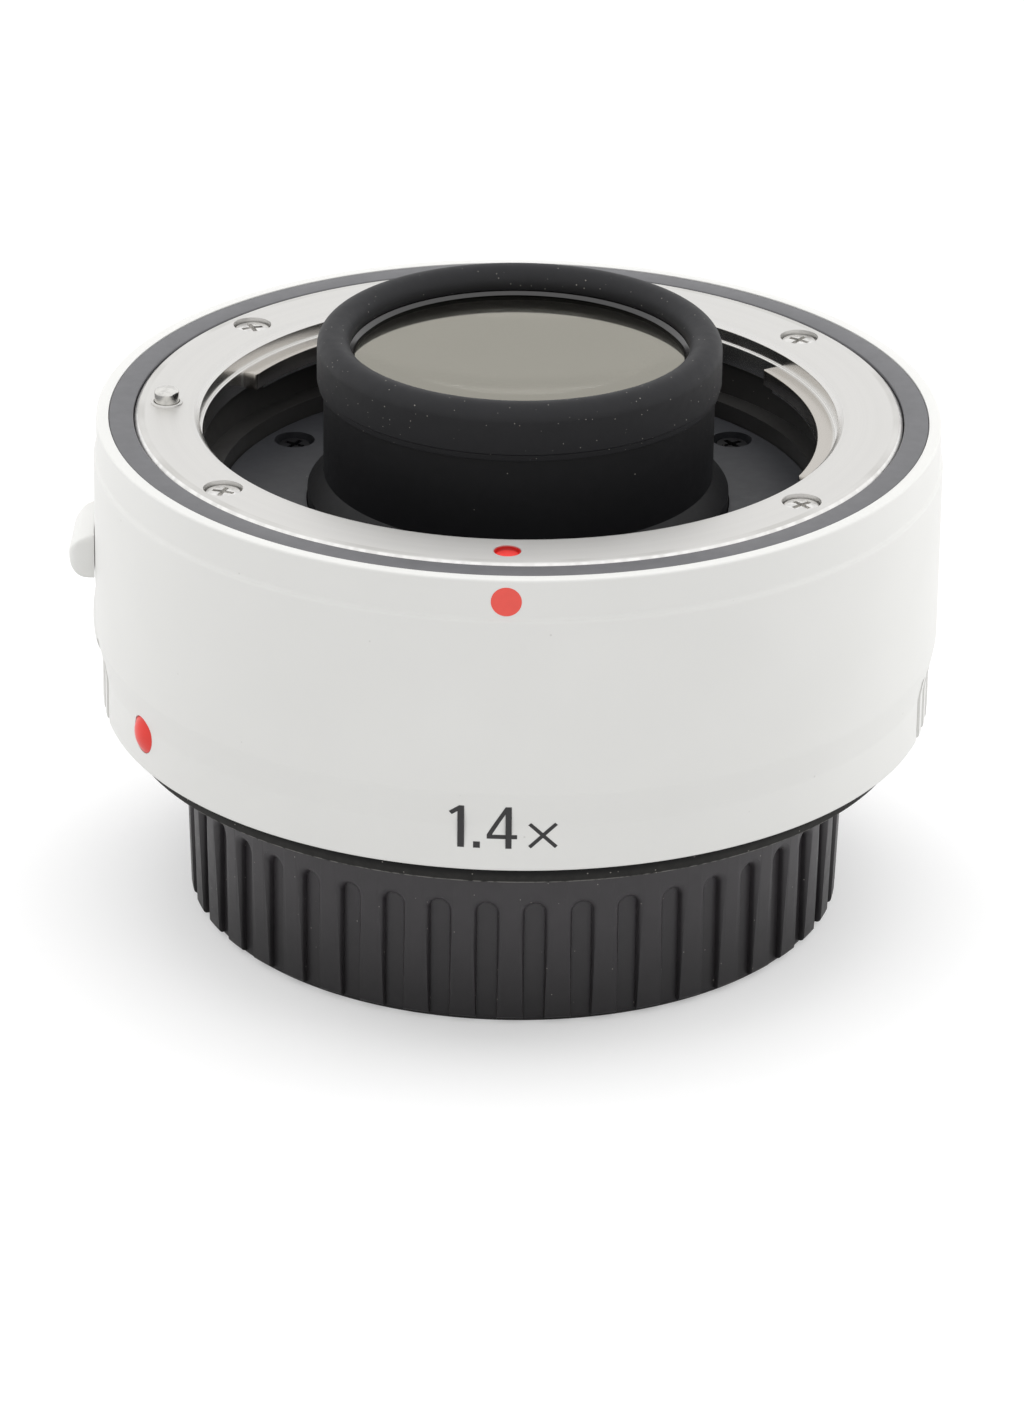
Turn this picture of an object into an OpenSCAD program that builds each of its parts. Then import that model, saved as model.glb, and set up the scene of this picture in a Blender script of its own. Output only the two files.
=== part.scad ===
// Camera teleconverter, standing on its rear cap with the lens-side mount up.
// Z is the optical axis, from the cap's underside at 0 up to the rubber hood.
// The index dot of the front mount faces -Y and the release knob faces -X.

/* [Overall] */
// Distance between the rear and the front mounting faces
flange_distance = 27.2; // [27:0.1:30]
// Radial gap between round pieces that are fixed together
fit_gap = 0.1; // [0.06:0.01:0.14]
// Gap between pieces that move past each other
run_gap = 0.3; // [0.25:0.05:0.4]
// Thickness of the shims under both mounts
shim_t = 0.2; // [0.1:0.05:0.4]

/* [Barrel] */
// Diameter of the barrel at its widest band
barrel_d = 72; // [71.6:0.2:76]
// Wall of the barrel at its widest band
barrel_wall = 1.3; // [1.2:0.1:1.6]
// Drop in radius from the widest band to the rear band
rear_step = 0.55; // [0.3:0.05:0.6]
// Height of the straight rear band
rear_band_h = 4.1; // [3:0.1:6]
// Height of the taper above the rear band
taper_h = 3; // [1:0.1:4]
// Drop in radius from the widest band to the front band
front_step = 0.25; // [0.1:0.05:0.4]
// Height of the front band below the rim
front_band_h = 3.3; // [2.4:0.1:4]
// Height of the barrel's lower edge above the rear mounting face
barrel_lift = 1.1; // [0.8:0.1:1.6]
// Depth of the barrel's rim below the front mounting face
rim_drop = 0.05; // [0:0.05:0.4]
// Chamfer of the rim's outer edge
rim_chamfer = 0.15; // [0.1:0.05:0.5]
// Chamfer of the lower edge
foot_chamfer = 0.25; // [0.1:0.05:0.3]
// Thickness of the inner lip that holds the barrel on the frame
lip_t = 1.5; // [1:0.1:2]
// Thickness of the black trim ring
trim_t = 0.85; // [0.6:0.05:1.2]
// Space between the mount plates and the barrel's bore
trim_w = 2.2; // [1.6:0.1:3]

/* [Grip grooves] */
// Grooves in each of the two grips
grip_count = 9; // [5:2:11]
// Angle from one groove to the next
grip_pitch = 3.4; // [3:0.1:4.5]
// Width of a groove
grip_w = 1.2; // [0.8:0.1:1.6]
// Depth of a groove
grip_depth = 0.3; // [0.2:0.05:0.35]
// Height of the grooves above the barrel's lower edge
grip_h = 5.1; // [3:0.1:8]

/* [Index marks] */
// Diameter of the recessed dot in the front mount
dot_d = 2.26; // [1.6:0.02:2.6]
// Depth of the dot's recess
dot_recess = 0.4; // [0.3:0.05:0.6]
// Thickness of the paint in the recess
dot_t = 0.15; // [0.1:0.05:0.25]
// Diameter of the domed bead on the rear band
bead_d = 3.2; // [2.4:0.1:3.4]
// Height of the bead's crown above the barrel
bead_proud = 0.6; // [0.3:0.05:0.9]
// Height of the bead's centre above the barrel's lower edge
bead_up = 3.3; // [2.4:0.1:4]
// Angle of the bead round the barrel
bead_angle = -150; // [-155:1:-145]

/* [Bayonet] */
// Width of the mount plates, from the throat to the outer edge
plate_w = 5.5; // [5:0.1:6]
// Thickness of the front mount's plate
plate_t = 1.6; // [1.4:0.1:2]
// Wall of the front mount's collar
collar_wall = 1.2; // [1:0.1:1.3]
// Depth of the collar below the front mounting face
collar_h = 3.6; // [3.4:0.1:4]
// Reach of a bayonet tab
tab_reach = 1.7; // [1.2:0.1:1.9]
// Depth of the front tabs below the mounting face
tab_drop = 1.6; // [1.4:0.1:1.8]
// Thickness of a bayonet tab
tab_t = 1.5; // [1.2:0.1:1.6]
// Angle that one tab covers
tab_span = 56; // [48:1:57]
// Angle of the middle of the first tab
tab_mid = 7; // [0:1:12]
// Chamfer of the plates' outer edges
plate_chamfer = 0.35; // [0.2:0.05:0.5]
// Chamfer of the throat's edge
throat_chamfer = 0.55; // [0.3:0.05:0.7]
// Thickness of the leaf springs under the tabs
leaf_t = 0.25; // [0.15:0.05:0.3]

/* [Rear mount] */
// Thickness of the rear mount's plate
rear_plate_t = 2; // [1.8:0.1:2.6]
// Radial gap between a male bayonet and the throat that it fits
bayonet_gap = 0.2; // [0.15:0.05:0.3]
// Wall of the male bayonet's barrel
bayonet_wall = 1.5; // [1.2:0.1:1.8]
// Height of the male bayonet below the rear mounting face
bayonet_h = 5.2; // [5:0.1:6]
// Depth of the male tabs below the rear mounting face
male_tab_drop = 3.3; // [3.2:0.1:3.5]
// Width of the rear seal that shows below the mounting face
seal_proud = 0.36; // [0.2:0.02:0.39]
// Depth of the slot for a camera's lock pin
lock_slot_depth = 1.4; // [1:0.1:1.6]

/* [Mount screws] */
// Distance of the mount screws from the plate's edge
screw_inset = 2.5; // [2.3:0.05:2.7]
// Angle of the mount screws from the X axis
screw_angle = 37.5; // [32:0.5:44]
// Diameter of the screw heads
screw_head_d = 3.1; // [2.8:0.1:3.2]
// Height of the screw heads
screw_head_h = 0.55; // [0.5:0.05:0.65]
// Depth of the head's top below the plate
screw_sink = 0.4; // [0.2:0.05:0.45]
// Diameter of the screw shanks
screw_d = 1.7; // [1.4:0.1:2]
// Length of the screw shanks below the plate
screw_grip = 2.2; // [1.6:0.1:2.6]

/* [Release lock] */
// Diameter of the lock pin
pin_d = 2.1; // [1.8:0.1:2.3]
// Distance of the lock pin and of the index dot from the plate's edge
pin_inset = 2.65; // [2.4:0.05:2.9]
// Height of the pin above the front mounting face
pin_proud = 1.2; // [0.8:0.1:1.3]
// Travel of the release knob
lock_travel = 1.5; // [1.4:0.1:1.8]
// Width of the knob round the barrel
knob_w = 8.3; // [7.8:0.1:9.2]
// Height of the knob along the barrel
knob_h = 4; // [3.9:0.1:4.6]
// Height of the knob above the barrel
knob_proud = 2.1; // [2:0.1:2.6]
// Depth of the knob's top below the front mounting face
knob_drop = 10.7; // [10.3:0.1:11.2]
// Radius of the knob's sloping top, seen from its end
knob_crown_r = 2.7; // [2.5:0.1:4]
// Radius of the knob's outer lower edge
knob_foot_r = 1.7; // [1.4:0.1:1.9]
// Radius of the knob's upright corners, seen from above
knob_corner_r = 1.9; // [1:0.1:2]
// Width of the knob's neck through the barrel
neck_w = 6.4; // [6:0.1:6.8]
// Height of the knob's neck
neck_h = 1.8; // [1.7:0.1:2]
// Height of the smooth swelling below the knob
bump_proud = 0.28; // [0.1:0.02:0.32]
// Width of the swelling round the barrel
bump_w = 9; // [8:0.5:12]
// Length of the swelling along the barrel
bump_l = 5.8; // [4:0.1:6]
// Depth of the swelling's middle below the front mounting face
bump_drop = 19.5; // [19.3:0.1:20]
// Thickness of the slider's plate and shelf
slider_t = 1.2; // [1:0.1:1.4]
// Length of the lock spring
lock_spring_l = 5; // [4.6:0.1:5.4]

/* [Main frame] */
// Depth of the throat's floor below the front mounting face
floor_depth = 8; // [7.6:0.1:8.6]
// Depth of the ledge above the floor, below the front mounting face
ledge_depth = 6.5; // [6:0.1:6.8]
// Width of the ledge round the floor
ledge_w = 1.6; // [1.2:0.1:2]
// Thickness of the floor plate
floor_t = 1.2; // [1:0.1:1.4]
// Thickness of the frame's web under the lens cell
web_t = 1.8; // [1.4:0.1:2]
// Thickness of the frame's outer wall
frame_wall = 2; // [1.6:0.1:2.2]
// Width of the ledge that carries the frame's web
web_seat_w = 1; // [0.8:0.1:1.4]
// Height of the ledge that carries the frame's web
web_seat_h = 1.2; // [1:0.1:1.6]
// Thickness of the frame's front flange
front_flange_t = 3; // [2.6:0.1:3.4]
// Thickness of the frame's rear flange
rear_flange_t = 2; // [1.6:0.1:2.6]

/* [Lens cell] */
// Width of the floor, from the ledge in to the lens cell
floor_w = 7.5; // [7.2:0.1:8]
// Height of the front tube above the front mounting face
tube_up = 5.3; // [5.1:0.1:5.8]
// Step from the flare at the tube's foot in to the tube
flare_w = 1.35; // [1:0.05:1.6]
// Height of the flare above the floor
flare_h = 2.7; // [2:0.1:3.2]
// Wall of the front tube
tube_wall = 1.45; // [1.3:0.05:1.6]
// Wall of the rear part of the cell
cell_wall = 2.1; // [1.6:0.1:2.4]
// Length of the cell behind the last lens
cell_end = 0.8; // [0.6:0.1:1.4]
// Thickness of the cell's flange
cell_flange_t = 1.2; // [1:0.1:1.4]
// Distance of the cell's screws from the floor's edge
cell_screw_inset = 2.5; // [2.2:0.1:2.8]
// Wall of the rubber hood's skirt
hood_wall = 0.45; // [0.4:0.05:0.8]
// Thickness of the hood's round lip
hood_lip = 2.8; // [2.6:0.1:3]
// Height of the hood's lower edge above the front mounting face
hood_up = 2.6; // [2:0.1:3.2]

/* [Lenses] */
// Step in radius from the front group to the middle and rear groups
group_step = 2; // [1.6:0.1:2.4]
// Height of the front lens's crown above the front mounting face
crown_up = 4.9; // [4.7:0.1:5.1]
// Centre thicknesses of the front doublet
front_group_t = [4.6, 1.4];
// Centre thicknesses of the middle triplet
middle_group_t = [1.2, 7, 1.2];
// Centre thicknesses of the rear doublet
rear_group_t = [6.8, 1.2];
// Air gap from the front to the middle group
front_air = 4.7; // [4.5:0.1:4.9]
// Air gap from the middle to the rear group
rear_air = 1.9; // [1.7:0.1:2.2]
// Depths of the front doublet's curved surfaces
front_group_sag = [1.13, 1.9, 1.42];
// Depths of the middle triplet's curved surfaces
middle_group_sag = [1.9, 3.2, 2.8, 1.4];
// Depths of the rear doublet's curved surfaces
rear_group_sag = [2.2, 3.2, 1.2];
// Thickness of the cement between two lenses
cement_t = 0.02; // [0.01:0.01:0.05]
// Reach of the front retaining ring over the lens
front_ring_w = 1.05; // [0.8:0.05:1.4]
// Reach of the spacer and of the rear retaining ring over the lenses
rear_ring_w = 1.1; // [0.8:0.1:1.6]

/* [Contacts] */
// Sprung pins in the front mount
contact_count = 10; // [8:1:11]
// Distance from one contact to the next
contact_pitch = 1.82; // [1.7:0.02:1.9]
// Distance of the front pins from the floor's edge
contact_inset = 2.7; // [2.5:0.1:2.9]
// Diameter of a front pin
contact_d = 0.9; // [0.7:0.05:1]
// Height of the front contact block above the floor
contact_block_h = 5.2; // [5:0.1:5.6]
// Width of the front contact block
contact_block_w = 4.6; // [4.2:0.1:4.8]
// Height of a front pin above its block
contact_proud = 1.2; // [1:0.1:1.4]
// Travel of the front pins
contact_travel = 0.8; // [0.5:0.1:0.9]
// Pads on the rear contact block
pad_count = 8; // [7:1:9]
// Distance of the rear pads from the bayonet's wall
pad_inset = 3.4; // [3.2:0.1:3.6]
// Diameter of a rear pad
pad_d = 1.5; // [1.2:0.1:1.6]

/* [Circuit board] */
// Thickness of the circuit board
board_t = 1; // [0.8:0.1:1.4]
// Height of the board's posts above the rear flange
post_h = 4; // [3.4:0.1:4.6]
// Gap between the board and the frame's wall
board_gap = 5.2; // [5:0.1:5.6]
// Width of the board's ring
board_w = 9.4; // [8.6:0.1:10]
// Thickness of the flexible circuits
flex_t = 0.2; // [0.15:0.05:0.3]
// Width of the flexible circuits
flex_w = 6; // [4:0.5:8]

/* [Rear cap] */
// Height of the cap
cap_h = 16.4; // [15.4:0.1:18]
// Gap between the cap's rim and the rear mounting face
cap_gap = 0.4; // [0.4:0.05:0.7]
// Wall of the cap at its rim
cap_wall = 1.2; // [1:0.1:1.6]
// Drop in radius from the cap's rim to its foot
cap_draft = 0.3; // [0.2:0.1:0.5]
// Thickness of the cap's floor
cap_floor = 1.6; // [1.2:0.1:2.2]
// Radius of the cap's lower edge
cap_edge_r = 0.9; // [0.5:0.1:1.2]
// Flutes round the cap
flute_count = 44; // [36:1:48]
// Width of a flute
flute_w = 1.9; // [1.4:0.1:2.2]
// Depth of a flute
flute_depth = 0.6; // [0.4:0.05:0.65]
// Height of the flutes' round tops above the cap's foot
flute_top = 12.2; // [10:0.1:13]
// Thickness of the cap's bayonet tabs
cap_tab_t = 1.4; // [1.2:0.1:1.5]

/* [Hidden] */
$fn = 96;

// Distance by which a cut runs past the face that it opens
past = 1;
// Distance by which fused pieces of one solid run into each other
fuse = 0.2;

// Heights of the two mounting faces and of the barrel
z_rear = cap_h + cap_gap;
z_front = z_rear + flange_distance;
barrel_z = z_rear + barrel_lift;
rim_z = z_front - rim_drop;
lip_top_z = rim_z - trim_t;
lip_z = lip_top_z - lip_t;

// Radii of the barrel and of the frame in it
barrel_r = barrel_d / 2;
rear_band_r = barrel_r - rear_step;
front_band_r = barrel_r - front_step;
barrel_in_r = barrel_r - barrel_wall;
frame_r = barrel_in_r - fit_gap;
frame_in_r = frame_r - frame_wall;
plate_r = barrel_in_r - trim_w;
throat_r = plate_r - plate_w;
floor_r = throat_r - ledge_w;
collar_r = throat_r + collar_wall;
tab_in_r = throat_r - tab_reach;
screw_circle_r = plate_r - screw_inset;
pin_r = plate_r - pin_inset;

// Heights in the main frame
front_seat_z = z_front - plate_t - shim_t;
rear_seat_z = z_rear + rear_plate_t + shim_t;
rear_flange_z = rear_seat_z + rear_flange_t;
front_flange_z = lip_z - front_flange_t;
collar_z = z_front - collar_h;
floor_z = z_front - floor_depth;
ledge_z = z_front - ledge_depth;
cell_flange_top_z = floor_z - floor_t;
web_top_z = cell_flange_top_z - cell_flange_t;
web_z = web_top_z - web_t;
throat_wall_in_r = throat_r + 2 * fit_gap;
throat_wall_r = collar_r;
flange_in_r = collar_r + fit_gap;

// The male bayonet of the rear mount
bayonet_r = tab_in_r - bayonet_gap / 2;
bayonet_in_r = bayonet_r - bayonet_wall;
male_tab_r = throat_r - bayonet_gap;
bayonet_z = z_rear - bayonet_h;
male_tab_top_z = z_rear - male_tab_drop;
rear_bore_r = bayonet_r + run_gap;

// Angles of the screws and of the bayonet tabs
screw_angles = [screw_angle, 180 - screw_angle, 180 + screw_angle, 360 - screw_angle];
tab_angles = [for (i = [0:2]) tab_mid + 120 * i];
cell_screw_angles = [37.5, 149.5, 217.5, 322.5];
board_screw_angles = [30, 150, 270];
contact_mid = 90;
// Angles by which a leaf spring, and a cap's tab, stop short of a bayonet tab's ends
leaf_end_angle = 3;
cap_tab_end_angle = 1;

// Sizes of the screws
counterbore_d = screw_head_d + 4 * fit_gap;
counterbore_depth = screw_head_h + screw_sink;
small_head_d = 2.6;
small_head_h = 0.8;
small_shank_d = 1.4;
cross_w = 0.45;
cross_depth = 0.4;
cross_share = 0.72;
board_screw_grip = 2.4;

// The release lock, from the knob inwards
knob_in_r = barrel_r + run_gap;
knob_out_r = barrel_r + knob_proud;
knob_top_z = z_front - knob_drop;
knob_z = knob_top_z - knob_h;
neck_top_z = knob_top_z - 4 * fit_gap;
neck_z = neck_top_z - neck_h;
bump_z = z_front - bump_drop;
bump_r = (pow(bump_l / 2, 2) + pow(bump_proud, 2)) / (2 * bump_proud);
slider_in_r = pin_r + pin_d / 2 + run_gap;
slider_out_r = slider_in_r + slider_t;
slider_w = neck_w + 4 * fit_gap;
slider_top_z = neck_top_z + 3 * fit_gap;
slider_screw_d = 1;
slider_head_d = 1.8;
slider_head_h = 0.5;
slider_screw_grip = 1.4;
slider_screw_y = neck_w / 2 - slider_head_d / 2 - fit_gap;
slider_screw_z = neck_top_z - slider_head_d / 2;
shelf_top_z = slider_screw_z - slider_head_d / 2 - fit_gap;
shelf_z = shelf_top_z - slider_t;
shelf_in_r = throat_wall_r + run_gap;
spring_seat_z = shelf_z - lock_spring_l;
slider_z = spring_seat_z + lock_travel + run_gap * 2;
pocket_w = slider_w + 2 * run_gap;
seat_t = 1.4;
lock_wire_d = 0.4;
lock_coil_d = 2.2;
lock_turns = 5;
// Gap at each end of a coil spring, and the rings per turn and sides of its wire
spring_end_gap = 0.02;
coil_rings = 8;
wire_sides = 6;

// The lens cell and its bores
flare_r = floor_r - floor_w;
tube_r = flare_r - flare_w;
tube_z = z_front + tube_up;
front_bore_r = tube_r - tube_wall;
front_lens_r = front_bore_r - fit_gap;
rear_lens_r = front_lens_r - group_step;
rear_bore_cell_r = rear_lens_r + fit_gap;
cell_rear_r = rear_bore_cell_r + cell_wall;
cell_screw_r = floor_r - cell_screw_inset;
front_ring_r = front_lens_r - front_ring_w;
rear_ring_r = rear_lens_r - rear_ring_w;
hood_r = tube_r + fit_gap + hood_wall;
hood_lip_r = hood_lip / 2;
hood_lip_z = tube_z + hood_lip_r * 0.36;
hood_z = z_front + hood_up;
flare_edge_h = flare_h * 0.4;
cell_shoulder = 0.8;

// Crown heights of the lens surfaces, from the front down
front_v = [
    z_front + crown_up,
    z_front + crown_up - front_group_t[0],
    z_front + crown_up - front_group_t[0] - front_group_t[1]
];
middle_top_z = front_v[2] - front_air;
middle_v = [
    middle_top_z,
    middle_top_z - middle_group_t[0],
    middle_top_z - middle_group_t[0] - middle_group_t[1],
    middle_top_z - middle_group_t[0] - middle_group_t[1] - middle_group_t[2]
];
rear_top_z = middle_v[3] - rear_air;
rear_v = [
    rear_top_z,
    rear_top_z - rear_group_t[0],
    rear_top_z - rear_group_t[0] - rear_group_t[1]
];

cell_z = rear_v[2] - cell_end;

// Depth of a spherical surface of radius ball_r at the distance r from the axis
function sag(ball_r, r) = ball_r - sqrt(ball_r * ball_r - r * r);

// Radius of a spherical surface that is depth deep at the distance r from the axis
function ball_radius(depth, r) = (r * r + depth * depth) / (2 * depth);

// Radii of the lens surfaces
front_group_r = [for (depth = front_group_sag) ball_radius(depth, front_lens_r)];
middle_group_r = [for (depth = middle_group_sag) ball_radius(depth, rear_lens_r)];
rear_group_r = [for (depth = rear_group_sag) ball_radius(depth, rear_lens_r)];

// Rims on which the groups seat
front_group_seat_z = front_v[2] - front_group_sag[2];
middle_group_seat_z = middle_v[0] + middle_group_sag[0];
middle_group_rim_z = middle_v[3] - middle_group_sag[3];
cell_shoulder_r = rear_lens_r - cell_shoulder;
lens_fn = 360;

// The contacts and the circuit board
contact_r = floor_r - contact_inset;
block_in_r = contact_r - contact_block_w / 2;
block_out_r = contact_r + contact_block_w / 2;
block_end = 1.4;
block_span = arc_angle(contact_pitch * (contact_count - 1) + 2 * block_end, contact_r);
block_top_z = floor_z + contact_block_h;
block_roof_t = 1.4;
contact_collar_d = contact_d + 4 * fit_gap;
contact_collar_h = 0.8;
contact_hole_d = contact_d + 2 * fit_gap;
contact_well_d = contact_collar_d + 2 * fit_gap;
contact_roof_gap = 0.05;
contact_collar_top_z = block_top_z - block_roof_t - contact_roof_gap;
contact_wire_d = 0.2;
contact_turns = 3;
board_r = frame_in_r - board_gap;
board_in_r = board_r - board_w;
post_r = 2;
board_edge = 0.6;
post_circle_r = board_r - post_r - board_edge;
board_z = rear_flange_z + post_h;
flex_slot_gap = 0.3;
flex_inset = 0.5;
flex_r = block_in_r + flex_inset;
chip_r = (board_r + board_in_r) / 2;
processor = [6, 6, 1];
memory = [4, 5, 0.9];
small_part = [1.6, 0.8, 0.6];
small_part_angles = [225:8:257];

// The rear baffle and the rear contact block
baffle_r = bayonet_in_r - fit_gap;
baffle_wall = 1.2;
baffle_lip_t = 1;
baffle_up = 0.6;
baffle_cell_gap = 0.8;
baffle_z = bayonet_z + baffle_up;
baffle_floor_z = baffle_z + baffle_wall;
baffle_in_r = cell_rear_r + baffle_cell_gap;
pad_r = bayonet_in_r - pad_inset;
pad_span = arc_angle(contact_pitch * (pad_count - 1) + 2 * block_end, pad_r);
pad_margin = 0.7;
rear_block_w = pad_d + 2 * pad_margin;
rear_block_rim = 0.5;
rear_block_end = 0.7;
rear_block_t = 1.2;
rear_block_proud = 0.3;
pad_t = 0.2;
pad_face_z = baffle_z - rear_block_proud;

// The rear cap
cap_in_r = male_tab_r + run_gap;
cap_r = cap_in_r + cap_wall;
cap_foot_r = cap_r - cap_draft;
cap_tab_in_r = bayonet_r + run_gap;
cap_tab_z = male_tab_top_z + run_gap * 1.5;

// A ring between two radii and two heights
module ring(r_in, r_out, z0, z1) {
    rotate_extrude()
        translate([r_in, z0])
            square([r_out - r_in, z1 - z0]);
}

// A part of a ring that covers span degrees about the angle mid
module ring_part(r_in, r_out, z0, z1, mid, span) {
    rotate([0, 0, mid - span / 2])
        rotate_extrude(angle = span)
            translate([r_in, z0])
                square([r_out - r_in, z1 - z0]);
}

// Children moved out to a radius and turned to an angle
module at(r, angle, z = 0) {
    rotate([0, 0, angle])
        translate([r, 0, z])
            children();
}

// A cylinder between two heights
module post(d, z0, z1) {
    translate([0, 0, z0])
        cylinder(d = d, h = z1 - z0);
}

// A box that stands on the side of the release knob, between two radii and two heights
module knob_side_box(r_in, r_out, w, z0, z1) {
    translate([-r_out, -w / 2, z0])
        cube([r_out - r_in, w, z1 - z0]);
}

// A cross-head screw: its head stands on z = 0 and its shank hangs below
module screw(head_d, head_h, shank_d, shank_l) {
    difference() {
        union() {
            post(head_d, 0, head_h);
            post(shank_d, -shank_l, fuse);
        }
        for (turn = [0, 90])
            rotate([0, 0, turn])
                translate([-head_d * cross_share / 2, -cross_w / 2, head_h - cross_depth])
                    cube([head_d * cross_share, cross_w, cross_depth + past]);
    }
}

// Point number i of the middle line of a coil
function coil_point(i, steps, turns, r, z0, length) =
    let (t = i / steps, a = 360 * turns * t)
    [r * cos(a), r * sin(a), z0 + length * t];

// A coil spring as one unbroken tube of round wire
module coil(coil_d, wire_d, turns, z0, z1) {
    rings = coil_rings * turns;
    sides = wire_sides;
    r = coil_d / 2;
    low = z0 + wire_d / 2;
    length = z1 - z0 - wire_d;
    rise = atan(length / (PI * coil_d * turns));
    points = [
        for (i = [0:rings])
            let (p = coil_point(i, rings, turns, r, low, length), a = 360 * turns * i / rings)
            for (s = [0:sides - 1])
                let (b = 360 * s / sides, u = wire_d / 2 * cos(b), v = wire_d / 2 * sin(b))
                [
                    p[0] + u * cos(a) + v * sin(rise) * sin(a),
                    p[1] + u * sin(a) - v * sin(rise) * cos(a),
                    p[2] + v * cos(rise)
                ]
    ];
    walls = [
        for (i = [0:rings - 1])
            for (s = [0:sides - 1])
                let (n = (s + 1) % sides, a = i * sides, b = (i + 1) * sides)
                each [[a + s, b + n, a + n], [a + s, b + s, b + n]]
    ];
    ends = [
        for (s = [1:sides - 2])
            each [
                [0, s, s + 1],
                [rings * sides, rings * sides + s + 1, rings * sides + s]
            ]
    ];
    polyhedron(points = points, faces = concat(walls, ends));
}

// Least gap of a coil to itself, measured between points over half a turn apart
function coil_gap(coil_d, wire_d, turns, length) =
    let (
        rings = coil_rings * turns,
        points = [
            for (i = [0:rings]) coil_point(i, rings, turns, coil_d / 2, 0, length - wire_d)
        ]
    )
    min([
        for (i = [0:rings], j = [i + coil_rings / 2 + 1:1:rings]) norm(points[i] - points[j])
    ]) - wire_d;

// A lens with two bulging faces
module biconvex(r, top_v, top_r, low_v, low_r) {
    intersection() {
        translate([0, 0, low_v])
            cylinder(r = r, h = top_v - low_v);
        translate([0, 0, top_v - top_r])
            sphere(r = top_r, $fn = lens_fn);
        translate([0, 0, low_v + low_r])
            sphere(r = low_r, $fn = lens_fn);
    }
}

// A lens with two hollow faces
module biconcave(r, top_v, top_r, low_v, low_r) {
    top_rim = top_v + sag(top_r, r);
    low_rim = low_v - sag(low_r, r);
    difference() {
        translate([0, 0, low_rim])
            cylinder(r = r, h = top_rim - low_rim);
        translate([0, 0, top_v + top_r])
            sphere(r = top_r, $fn = lens_fn);
        translate([0, 0, low_v - low_r])
            sphere(r = low_r, $fn = lens_fn);
    }
}

// A lens with a hollow top and a bulging underside
module meniscus(r, top_v, top_r, low_v, low_r) {
    top_rim = top_v + sag(top_r, r);
    difference() {
        intersection() {
            translate([0, 0, low_v])
                cylinder(r = r, h = top_rim - low_v);
            translate([0, 0, low_v + low_r])
                sphere(r = low_r, $fn = lens_fn);
        }
        translate([0, 0, top_v + top_r])
            sphere(r = top_r, $fn = lens_fn);
    }
}

// White barrel: a turned tube with a lip inside its rim, a swelling below the knob and grips
module barrel_shell() {
    band_z = barrel_z + rear_band_h;
    front_z = rim_z - front_band_h;
    color("whitesmoke")
    difference() {
        union() {
            rotate_extrude()
                polygon([
                    [barrel_in_r, barrel_z],
                    [rear_band_r - foot_chamfer, barrel_z],
                    [rear_band_r, barrel_z + foot_chamfer],
                    [rear_band_r, band_z],
                    [barrel_r, band_z + taper_h],
                    [barrel_r, front_z - front_step],
                    [front_band_r, front_z],
                    [front_band_r, rim_z - rim_chamfer],
                    [front_band_r - rim_chamfer, rim_z],
                    [barrel_in_r, rim_z],
                    [barrel_in_r, lip_top_z],
                    [plate_r + 4 * fit_gap, lip_top_z],
                    [plate_r + 4 * fit_gap, lip_z],
                    [barrel_in_r, lip_z]
                ]);
            intersection() {
                ring(
                    barrel_in_r + fuse, barrel_r + bump_proud, bump_z - bump_l / 2,
                    bump_z + bump_l / 2
                );
                translate([bump_r - barrel_r - bump_proud, bump_w / 2, bump_z])
                    rotate([90, 0, 0])
                        cylinder(r = bump_r, h = bump_w);
            }
        }
        knob_side_box(
            barrel_in_r - past, barrel_r + past, neck_w + 2 * run_gap,
            neck_z - lock_travel - run_gap, neck_top_z + run_gap
        );
        at(0, bead_angle, barrel_z + bead_up)
            rotate([0, 90, 0])
                cylinder(d = bead_d + 2 * fit_gap, h = barrel_r + past);
        for (side = [0, 180], i = [0:grip_count - 1])
            rotate([0, 0, side + grip_pitch * (i - (grip_count - 1) / 2)])
                translate([rear_band_r - grip_depth, -grip_w / 2, barrel_z - past])
                    cube([barrel_r, grip_w, grip_h + past]);
    }
}

// Black ring between the mount plate and the barrel's rim
module front_trim_ring() {
    color("dimgray")
        ring(plate_r + fit_gap, barrel_in_r - fit_gap, lip_top_z, rim_z);
}

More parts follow.
